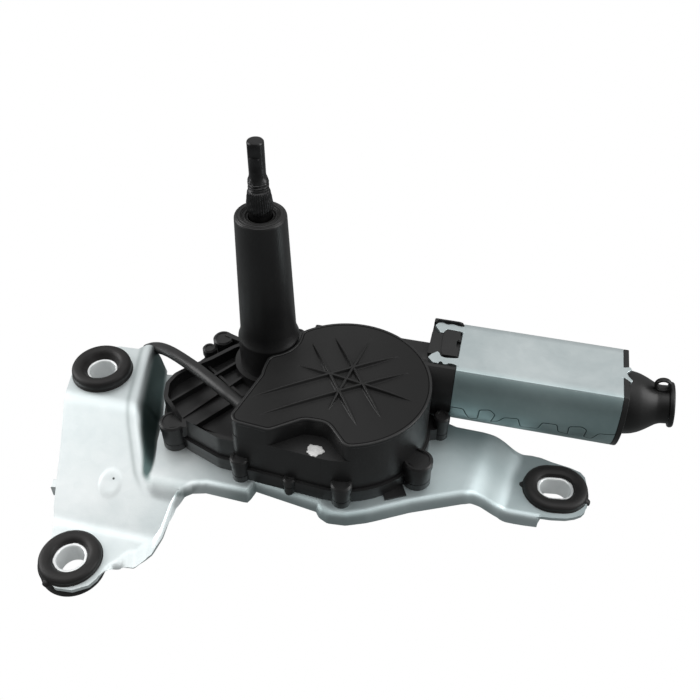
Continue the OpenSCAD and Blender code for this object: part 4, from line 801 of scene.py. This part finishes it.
def canSection(c=can):
    # the section's (y, z) points and outward directions: two arcs of the radius joined by two flats
    lock = math.degrees(math.asin(c["half"] / c["radius"]))
    near = np.radians(evenSteps([(-lock + 0.5, -2, 16), (-2, 32, 40), (32, lock - 0.5, 8)]))
    far = np.radians(np.linspace(-lock + 0.5, lock - 0.5, 30))
    flatY = c["radius"] * math.cos(math.radians(lock)) - 0.3
    flat = np.linspace(-flatY, flatY, c["flatPoints"])
    level = np.full(c["flatPoints"], c["half"])
    section = np.concatenate([-c["radius"] * np.stack([np.cos(near), np.sin(near)], -1), np.c_[flat, -level],
        c["radius"] * np.stack([np.cos(far), np.sin(far)], -1), np.c_[flat[::-1], level]])
    slope = np.roll(section, -1, 0) - np.roll(section, 1, 0)
    outward = unit(np.stack([slope[:, 1], -slope[:, 0]], -1))
    return section, outward * np.sign((outward * section).sum(1))[:, None]


def makeCan(c=can):
    # the section runs round the shell, rows run along X and turn back inside; the seam's distance is stored,
    # and a painted shade on the near round side
    section, outward = canSection()
    start, end, inner = c["start"], c["end"], -c["sheet"]
    x = np.linspace(start + c["edge"], end - c["edge"], c["rows"])
    rows = [(start, -c["edge"]), *((v, 0.0) for v in x), (end, -c["edge"]), (end, inner),
        (end - c["rollIn"], inner), (start + c["rollIn"], inner), (start, inner)]
    grid = np.array([np.c_[np.full(len(section), px), section + sink * outward] for px, sink in rows])
    grid = grid + (0, c["axisY"], c["axisZ"])
    piece = gridPiece("canShell", grid, "canSteel", 26, True, instead="motor_can")
    spots = np.empty(len(piece.data.vertices) * 3)
    piece.data.vertices.foreach_get("co", spots)
    spots = spots.reshape(-1, 3) / mm
    dy, dz = spots[:, 1] - c["axisY"], spots[:, 2] - c["axisZ"]
    bend = np.degrees(np.arctan2(-dz, -dy))
    unroll = math.pi * c["radius"] / 180
    line = softLine(np.array(c["seam"]) * (1, c["seamStretch"] * unroll), 1.0, 5)
    away = seamDistance(np.stack([spots[:, 0], bend * unroll], -1), line)
    away[(np.abs(bend) > c["seamWithin"]) | (np.hypot(dy, dz) < c["radius"] - c["skin"])] = c["noSeam"]
    storeValues(piece, "seam", away)
    # painted shade: the near round side is darkened, fully within 40 degrees of its middle and fading out by
    # 50
    storeValues(piece, "shade", smoothStep((c["shadeTo"] - np.abs(bend)) / c["shadeSoft"]))


# flat pieces on the motor and the case; the can's tabs and fork share a base height, corners and bevel
tabShape = {"low": -76.38, "cut": 0.45, "bevel": 0.18, "finish": "canSteel"}
slabs = {
    "canFarTab": {"high": -74.82, **tabShape, "outline": [
        (83, 23.9), (79.6, 23.8), (78.4, 24.2), (76.9, 24.5), (75.2, 23.6), (74, 24), (72.6, 24.8),
        (70.9, 24.1), (69.7, 22.2), (72.7, 17.9), (74, 18), (74.3, 19), (75.2, 20.7), (81, 20.4),
        (83, 19.6)]},
    "canNearTab": {"high": -74.82, **tabShape, "outline": [
        (83, 3.9), (81.4, 3.2), (79.8, 2.9), (76.7, 2.5), (75.2, 2.9), (74.4, 3.8), (74, 5), (73, 5.7),
        (70.7, 3.4), (69.6, 1.3), (72.1, -1.4), (74.4, -1.4), (74.5, -0.6), (75.1, 0), (76.1, -0.5),
        (76.4, -1.5), (77.6, -1.4), (78.7, -0.4), (79.9, -0.4), (81.7, -0.8), (83, -1.6)]},
    "canFork": {"high": -74.95, **tabShape, "outline": [
        (149.4, 14.4), (151, 14.2), (153.3, 15.0), (154.2, 13.6), (152, 11.3), (152.6, 9.3), (154.4, 6.9),
        (153.6, 5.8), (152.2, 7), (150.9, 8), (149.4, 7.8)]},
    "flangePad": {"low": -75.4, "high": -74.55, "cut": 0.7, "bevel": 0.25, "finish": "caseBlack", "outline": [
        (75.3, 20.3), (81.3, 20.0), (81.5, 14.6), (80.3, 14.3), (80.5, 10.1), (81.5, 9.8), (81.6, 4.2),
        (75.5, 4.0), (74.4, 5.8), (73.9, 15.4), (74.3, 18.6)]},
    "flangeLip": {"low": -75.6, "high": -73.8, "cut": 0.6, "bevel": 0.25, "finish": "caseBlack", "outline": [
        (69.1, 23.6), (69.1, 25.7), (80, 25.7), (81.6, 25.2), (81.9, 24.3), (80.6, 24.2), (79.8, 24.9),
        (70.3, 24.9), (70.2, 23.6)]},
    "postWing": {"low": -98.0, "high": -91.05, "cut": 0.3, "bevel": 0.45, "finish": "caseBlack", "outline": [
        (-24.6, 13.2), (-11.0, 8.6), (-11.0, 6.4), (-25.4, 10.9)]},
}


def makeSlabs(table=slabs):
    # the can's clinch tabs and fork, the flange's pad and lip, and the web between the rear post and the tube
    for name, values in table.items():
        slab = slabPiece(name, **values)
        if values["finish"] == "canSteel":
            storeValues(slab, "seam", np.full(len(slab.data.vertices), can["noSeam"]))


makeCan()
makeSlabs()
print("motor can made")


# rubber boot over the plug, tilted up a little; its outer profile is (along, radius), and a loop is
# (down, along, radius, half thickness, width)
boot = {
    "at": (153, 11, -91.8), "tilt": 8.0, "wall": 1.8, "columns": 128,
    "swell": 0.02, "swellTo": 5, "swellSoft": 9, "lineRun": (7.5, 8.5, 0.2),
    "outer": [(-2.6, 14.0), (1.6, 13.95), (4.6, 13.6), (7.4, 12.7), (10, 11.3), (12.4, 9.8), (14.4, 8.6),
        (16, 8.2), (18.9, 8.15), (19.2, 8.5), (19.3, 9.45), (20.1, 9.75), (20.9, 9.6), (21.3, 9.2)],
    "cut": [0, 1.2, 1.2, 1.2, 1.2, 1.2, 0.8, 0.6, 0.3, 0.3, 0.3, 0.4, 0.3, 0],
    "mouldLine": (305, 2.2, 0.3), "bore": 6.3, "mouth": (21.25, 8.6),
    "loops": [(-11.3, 16.2, 2.9, 0.62, 2.2), (9.6, 15.2, 1.7, 0.5, 1.8)],
}


def squared(wave):
    # a sine wave pressed flat, so that a section turned by it becomes nearly square
    return np.sign(wave) * np.abs(wave) ** 0.7


def makeBoot(b=boot):
    # profile turned about the boot's own axis with a slight four-sided swell; a mould line runs along its
    # lower front, and each loop is a squared section carried round a circle
    at = np.array(b["at"])
    t = math.radians(90 - b["tilt"])
    axis, side = np.array([math.sin(t), 0, math.cos(t)]), np.array([math.cos(t), 0, -math.sin(t)])
    across = np.array([0, 1, 0])
    outer = softLine(b["outer"], b["cut"], 5)
    inner = np.stack([outer[::-1, 0] - 0.02, np.maximum(outer[::-1, 1] - b["wall"], b["bore"])], -1)
    inner[0] = b["mouth"]
    rows = np.concatenate([outer, inner])
    a = np.linspace(0, 2 * np.pi, b["columns"], endpoint=False)[None]
    big = 1 - smoothStep((rows[:, :1] - b["swellTo"]) / b["swellSoft"])
    r = rows[:, 1:] * (1 + b["swell"] * np.cos(4 * a) * big)
    outside = (np.arange(len(rows)) < len(outer))[:, None]
    angle, width, rise = b["mouldLine"]
    off = (np.degrees(a) - angle + 180) % 360 - 180
    r = r + outside * rise * np.exp(-(off / width) ** 2) * window(rows[:, :1], *b["lineRun"])
    circle = np.cos(a)[..., None] * side + np.sin(a)[..., None] * across
    grid = at + rows[:, :1, None] * axis + r[..., None] * circle
    grid[..., 0] = np.maximum(grid[..., 0], at[0] + 0.03)
    gridPiece("bootRubber", grid, "bootRubber", 42, True, instead="connector_boot")
    u = np.linspace(0, 2 * np.pi, 48, endpoint=False)[:, None]
    v = np.linspace(0, 2 * np.pi, 24, endpoint=False)[None]
    for index, (down, reach, radius, thick, width) in enumerate(b["loops"]):
        ring = radius + thick * squared(np.cos(v))
        level = width / 2 * squared(np.sin(v)) + 0 * u
        parts = ((ring * np.cos(u), side), (ring * np.sin(u), axis), (level, across))
        grid = at + reach * axis + down * side + sum(part[..., None] * way for part, way in parts)
        gridPiece("bootLoop" + str(index + 1), grid, "bootRubber", 180, True)


makeBoot()
print("boot made")


# the hose leaves the vent stub straight, at two reaches from its middle, and ends open behind the bracket
hose = {
    "stub": (-0.4, -38.5, -80), "stubReach": (1.8, 6), "turn": 148.0,
    "route": [(-9.1, -33.2, -80), (-15.8, -28.8, -80.4), (-21.1, -25, -81.3), (-26.4, -21.2, -82.3),
        (-32, -16.8, -84.3), (-39.7, -10.6, -87.6), (-46.9, -4.5, -91.8), (-53.8, 1.2, -96.8),
        (-60.1, 6, -102.4), (-65.1, 9.4, -107.6)],
    "diameter": 5.4, "bore": 2.8, "sides": 36, "steps": 9, "lip": 0.25,
}


def curveThrough(points, steps):
    # Catmull-Rom line through the points, ends repeated
    padded = np.concatenate([2 * points[:1] - points[1:2], points, 2 * points[-1:] - points[-2:-1]])
    t = np.linspace(0, 1, steps, endpoint=False)[:, None]
    out = []
    for p, q, r, s in zip(padded, padded[1:], padded[2:], padded[3:]):
        bend = (2 * p - 5 * q + 4 * r - s) * t ** 2 + (3 * q - p - 3 * r + s) * t ** 3
        out.append(0.5 * (2 * q + (r - p) * t + bend))
    return np.concatenate(out + [points[-1:]])


def makeHose(h=hose):
    # rings round the line, turned back into the bore at the open far end
    turn = math.radians(h["turn"])
    leave = np.array([math.cos(turn), math.sin(turn), 0])
    stub = [h["stub"] + reach * leave for reach in h["stubReach"]]
    line = curveThrough(np.array([*stub, *h["route"]]), h["steps"])
    forward = unit(np.gradient(line, axis=0))
    beside = unit(np.cross(forward, [0.3, 1, 0.2]))
    above = np.cross(forward, beside)
    a = np.linspace(0, 2 * np.pi, h["sides"], endpoint=False)[None, :, None]
    ring = np.cos(a) * beside[:, None] + np.sin(a) * above[:, None]
    spine = line[:, None] + 0 * ring
    radius, deep = h["diameter"] / 2, h["steps"]
    tip = spine[-1:] + (radius - h["lip"]) * ring[-1:] + 0.2 * forward[-1]
    inner = (spine + h["bore"] / 2 * ring)[:-deep - 1:-1]
    grid = np.concatenate([spine[:1], spine + radius * ring, tip, inner, spine[-deep:1 - deep]])
    piece = gridPiece("ventHose", grid, "hoseRubber", 50, instead="vent_hose")


makeHose()
print("hose made")


dab = {
    "at": (33.8, -51.9, -83.98), "size": (3.4, 2.85), "rise": 0.55, "sink": 0.05, "columns": 72, "rows": 18,
    "waves": ((0.09, 3, 0.6), (0.06, 5, 2), (0.05, 9, 0), (0.03, 14, 1)), "swirl": 0.09,
}


def makeDab(d=dab):
    # a drop of paint: an uneven round from four sine waves, domed, with a swirl in its skin
    (x, y, z), (width, depth) = d["at"], d["size"]
    a = np.linspace(0, 2 * np.pi, d["columns"], endpoint=False)[None]
    t = np.linspace(0, 1, d["rows"])[:, None]
    rim = 1 + sum(size * np.sin(count * a + shift) for size, count, shift in d["waves"])
    swirl = d["swirl"] * np.sin(9 * t + 2 * a) * np.sin(np.pi * t)
    top = np.stack([x + width * t * rim * np.cos(a), y + depth * t * rim * np.sin(a),
        z + d["rise"] * ((1 - t ** 3) ** 0.5 + swirl)], -1)
    low = top[-1:] * (1, 1, 0) + (0, 0, z - d["sink"])
    close = np.zeros_like(low) + (x, y, z - d["sink"])
    gridPiece("paintDab", np.concatenate([top, low, close]), "paintWhite", 180)


makeDab()
print("details made")


# the case's webs beside two posts (x, y, radius, height) end just under the posts' rims
webs = {"posts": ((73.2, -38, 5.9, 15.5), (-31, -41.5, 5.3, 16)), "aim": (39, -20.2), "base": -110.0}


def lowerWebs(work, w=webs):
    # finds the points between a post and the wall by how far ahead and beside the post they lie
    for x, y, r, height in w["posts"]:
        ahead = np.array([w["aim"][0] - x, w["aim"][1] - y])
        ahead /= np.linalg.norm(ahead)
        top = w["base"] + height - 1
        for vert in work.verts:
            dx, dy, above = vert.co.x / mm - x, vert.co.y / mm - y, vert.co.z / mm - top
            a, b = dx * ahead[0] + dy * ahead[1], abs(dy * ahead[0] - dx * ahead[1])
            between = -0.5 * r < a < 2.1 * r and b < 0.75 * r and 0.05 < above < 1.1 * r + 0.1
            if between and (math.hypot(dx, dy) > r + 0.4 or above > 0.9):
                vert.co.z = top * mm


# CAD meshes that are softened: sharp angle, bevel width in mm, and the height that the lid's ribs are cut to
softened = {
    "gear_case": {"finish": "caseBlack", "angle": 32},
    "case_lid": {"finish": "lidBlack", "angle": 32, "flatTop": -75.0},
    "base_cover": {"finish": "caseBlack", "angle": 40, "width": 0.25},
    "end_cap": {"finish": "capBlack", "angle": 40, "width": 0.3},
}


def softCopy(node, finish, angle, width=0, flatTop=None):
    # the solid's mesh, merged, its flat faces joined, shaded smooth up to the angle and its edges rounded
    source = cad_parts[node]
    mesh = source.data.copy()
    mesh.transform(source.matrix_world)
    if "custom_normal" in mesh.attributes:
        mesh.attributes.remove(mesh.attributes["custom_normal"])
    work = bmesh.new()
    work.from_mesh(mesh)
    bmesh.ops.remove_doubles(work, verts=work.verts, dist=8e-6)
    if flatTop is not None:
        for vert in work.verts:
            vert.co.z = min(vert.co.z, flatTop * mm)
        bmesh.ops.remove_doubles(work, verts=work.verts, dist=8e-6)
    if node == "gear_case":
        lowerWebs(work)
    bmesh.ops.dissolve_degenerate(work, edges=work.edges, dist=6e-6)
    bmesh.ops.dissolve_limit(work, angle_limit=math.radians(0.5), verts=work.verts, edges=work.edges)
    work.to_mesh(mesh)
    work.free()
    piece = placePiece(node + "Soft", mesh, finish, angle, instead=node)
    if width:
        addBevel(piece, width, 2, angle)
    print(node, "softened:", len(mesh.polygons), "faces")
    return piece


softPieces = {node: softCopy(node, **values) for node, values in softened.items()}


# rounded rim of the case round the lid, with the dark joint inside it; profiles as (outward, up)
rimTop = -75.0
rims = {
    "caseRim": {"finish": "caseBlack", "profile": [
        (0.12, -0.5), (0.12, 0.02), (0.3, 0.2), (0.6, 0.26), (0.95, 0.14), (1.22, -0.2), (1.3, -0.7),
        (1.24, -1.4)]},
    "lidJoint": {"finish": "jointBlack", "profile": [
        (-0.28, -0.3), (-0.28, 0.02), (-0.1, 0.03), (0.14, 0.03), (0.14, -0.3)]},
}


def topLoop(piece, height, count=520):
    # outline of the largest level face at a height, resampled evenly, with its outward directions
    mesh = piece.data
    flat = [p for p in mesh.polygons if p.normal.z > 0.99 and abs(p.center.z / mm - height) < 0.02]
    face = max(flat, key=lambda p: p.area)
    loop = np.array([mesh.vertices[i].co[:2] for i in face.vertices]) / mm
    reach = np.concatenate([[0], np.cumsum(np.linalg.norm(np.roll(loop, -1, 0) - loop, axis=1))])
    closed = np.concatenate([loop, loop[:1]])
    at = np.linspace(0, reach[-1], count, endpoint=False)
    line = np.stack([np.interp(at, reach, closed[:, k]) for k in (0, 1)], -1)
    for _ in range(3):
        line = (np.roll(line, 1, 0) + 2 * line + np.roll(line, -1, 0)) / 4
    ahead = np.roll(line, -1, 0)
    slope = ahead - np.roll(line, 1, 0)
    out = unit(np.stack([slope[:, 1], -slope[:, 0]], -1))
    return line, out * np.sign(np.sum(line[:, 0] * ahead[:, 1] - line[:, 1] * ahead[:, 0]))


def sweptRim(name, outline, profile, finish):
    # a closed (outward, up) profile carried round the outline
    line, out = outline
    rows = softLine(profile, 0.12, 3, True)
    plan = line[:, None] + rows[None, :, :1] * out[:, None]
    height = np.broadcast_to((rimTop + rows[:, 1])[None, :, None], (*plan.shape[:2], 1))
    gridPiece(name, np.concatenate([plan, height], -1), finish, 50, True)


outline = topLoop(softPieces["case_lid"], rimTop)
for rimName, rim in rims.items():
    sweptRim(rimName, outline, **rim)
print("rim made:", len(outline[0]), "points")


# six crossing ribs like spears on the lid; each line is (reach back, reach ahead, sideways shift, turn)
ribs = {
    "at": (39, -20.2, -75.0), "height": 1.6, "sink": 0.01, "turn": 34.5, "fullTo": 0.35, "power": 2.2,
    "leastSize": 0.004, "tipWidth": 0.25, "pointed": 12,
    "steps": [(-1, -0.55, 22), (-0.55, 0.55, 30), (0.55, 1, 22)],
    "half": [-1.35, -0.95, -0.7, -0.52, -0.34, 0, 0.34, 0.52, 0.7, 0.95, 1.35],
    "rise": [-0.06, 0.07, 0.36, 0.8, 0.97, 1, 0.97, 0.8, 0.36, 0.07, -0.06],
    "lines": [(39, 26, -5.2, 0), (39, 26, 5.2, 0), (24.5, 26, -5.2, 90), (24.5, 26, 5.2, 90),
        (18, 25.5, 0, 45), (22, 29.5, 0, -45)],
}


def makeRibs(r=ribs):
    # each rib's section shrinks from 35 % of its length to its tip, as 1 - s^2.2: the height by all of it,
    # the width to a quarter and only then to a point
    t = evenSteps(r["steps"])
    tip = np.clip((np.abs(t) - r["fullTo"]) / (1 - r["fullTo"]), 0, 1) ** r["power"]
    size = np.maximum(1 - tip, r["leastSize"])[:, None]
    kept = r["tipWidth"]
    across = np.array(r["half"]) * (kept + (1 - kept) * size) * np.minimum(1, size * r["pointed"])
    up = r["height"] * np.array(r["rise"]) * size - r["sink"]
    for index, (back, ahead, shift, turn) in enumerate(r["lines"]):
        length = (np.where(t < 0, back, ahead) * t)[:, None]
        x, y = turned(length, shift + across, r["turn"] + turn)
        grid = np.stack([x, y, up], -1) + r["at"]
        gridPiece("lidRib" + str(index + 1), grid, "lidBlack", 110)


makeRibs()
print("ribs made")


# camera as fitted to the photograph, sky as (height, brightness), soft boxes as place, target, size, power
studio = {
    "azimuth": 12.02, "elevation": 43.54, "roll": 0.95, "lens": 43.87, "place": (91.446, -259.928, 175.516),
    "paper": (0.94, 0.94, 0.94), "paperSeen": (1, 1, 1), "paperFelt": (0.24, 0.25, 0.25), "paperHalf": 6,
    "sky": [(0.0, 0.2), (0.5, 0.26), (0.62, 0.44), (0.84, 0.62), (0.93, 1.08), (1.0, 1.3)],
    "skyStrength": 1.0, "front": (-0.9, -0.3, 0.3, 1.0),
    "lights": {
        "topBox": ((60, -60, 640), (40, -30, -90), (500, 420), 0.6),
        "leftBox": ((-560, -60, 120), (0, -20, -80), (380, 420), 2.1),
        "rightBox": ((620, 40, 140), (60, -20, -80), (320, 420), 2.0),
    },
}


def makeCamera(values):
    # looks along azimuth and elevation, then rolls: right and up turn about the viewing axis
    a, e, r = (math.radians(values[k]) for k in ("azimuth", "elevation", "roll"))
    back = Vector((math.sin(a) * math.cos(e), -math.cos(a) * math.cos(e), math.sin(e)))
    flatRight = Vector((math.cos(a), math.sin(a), 0))
    right = math.cos(r) * flatRight + math.sin(r) * back.cross(flatRight)
    turn = Matrix((right, back.cross(right), back)).transposed().to_4x4()
    lens = bpy.data.cameras.new("camera")
    lens.sensor_width, lens.lens, lens.clip_start, lens.clip_end = 36, values["lens"], 0.01, 20
    camera = bpy.data.objects.new("camera", lens)
    camera.matrix_world = Matrix.Translation(Vector(values["place"]) * mm) @ turn
    bpy.context.scene.collection.objects.link(camera)
    bpy.context.scene.camera = camera


def makeLight(name, place, target, size, power):
    # a soft box at a place in mm, facing a target
    lamp = bpy.data.lights.new(name, "AREA")
    lamp.shape, lamp.size, lamp.size_y, lamp.energy = "RECTANGLE", size[0] * mm, size[1] * mm, power
    light = bpy.data.objects.new(name, lamp)
    light.location = Vector(place) * mm
    light.rotation_euler = (Vector(target) - Vector(place)).to_track_quat("-Z", "Y").to_euler()
    bpy.context.scene.collection.objects.link(light)


def makeSky(values):
    # brightness grows with height, brightest overhead, and is lower towards the front
    world = bpy.data.worlds.new("studioSky")
    bpy.context.scene.world = world
    world.use_nodes = True
    tree = world.node_tree
    place = addNode(tree, "ShaderNodeTexCoord")
    split = addNode(tree, "ShaderNodeSeparateXYZ")
    height = addSpan(tree, -1.0, kind="LINEAR")
    shade = ramp(tree, values["sky"])
    front = addSpan(tree, *values["front"])
    both = addNode(tree, "ShaderNodeMix", data_type="RGBA", blend_type="MULTIPLY", Factor=1.0)
    background = tree.nodes["Background"]
    background.inputs["Strength"].default_value = values["skyStrength"]
    wire(tree, (place, "Generated", split, 0), (split, "Z", height, "Value"), (split, "Y", front, "Value"),
        (height, "Result", shade, "Fac"), (shade, "Color", both, "A"), (front, "Result", both, "B"),
        (both, "Result", background, "Color"))


def makeFloor(values):
    # a wide flat sheet under the lowest point: paper white to the eye, dim in reflections
    half, low = values["paperHalf"], cadBox[0].z
    mesh = bpy.data.meshes.new("floor")
    corners = ((-half, -half), (half, -half), (half, half), (-half, half))
    mesh.from_pydata([(x, y, low) for x, y in corners], [], [(0, 1, 2, 3)])
    floor = bpy.data.objects.new("floor", mesh)
    bpy.context.scene.collection.objects.link(floor)
    material, tree, shader = startFinish("floorPaper", Roughness=0.9, Base_Color=(*values["paper"], 1))
    rays = addNode(tree, "ShaderNodeLightPath")
    seen = addNode(tree, "ShaderNodeEmission", Color=(*values["paperSeen"], 1))
    felt = addNode(tree, "ShaderNodeEmission", Color=(*values["paperFelt"], 1))
    mix = addNode(tree, "ShaderNodeMixShader")
    wire(tree, (rays, "Is Camera Ray", mix, 0), (felt, 0, mix, 1), (seen, 0, mix, 2),
        (mix, 0, tree.nodes["Material Output"], "Surface"))
    mesh.materials.append(material)


makeCamera(studio)
makeSky(studio)
makeFloor(studio)
for lightName, values in studio["lights"].items():
    makeLight(lightName, *values)
bpy.context.scene.view_settings.view_transform = "Standard"
print("studio ready")
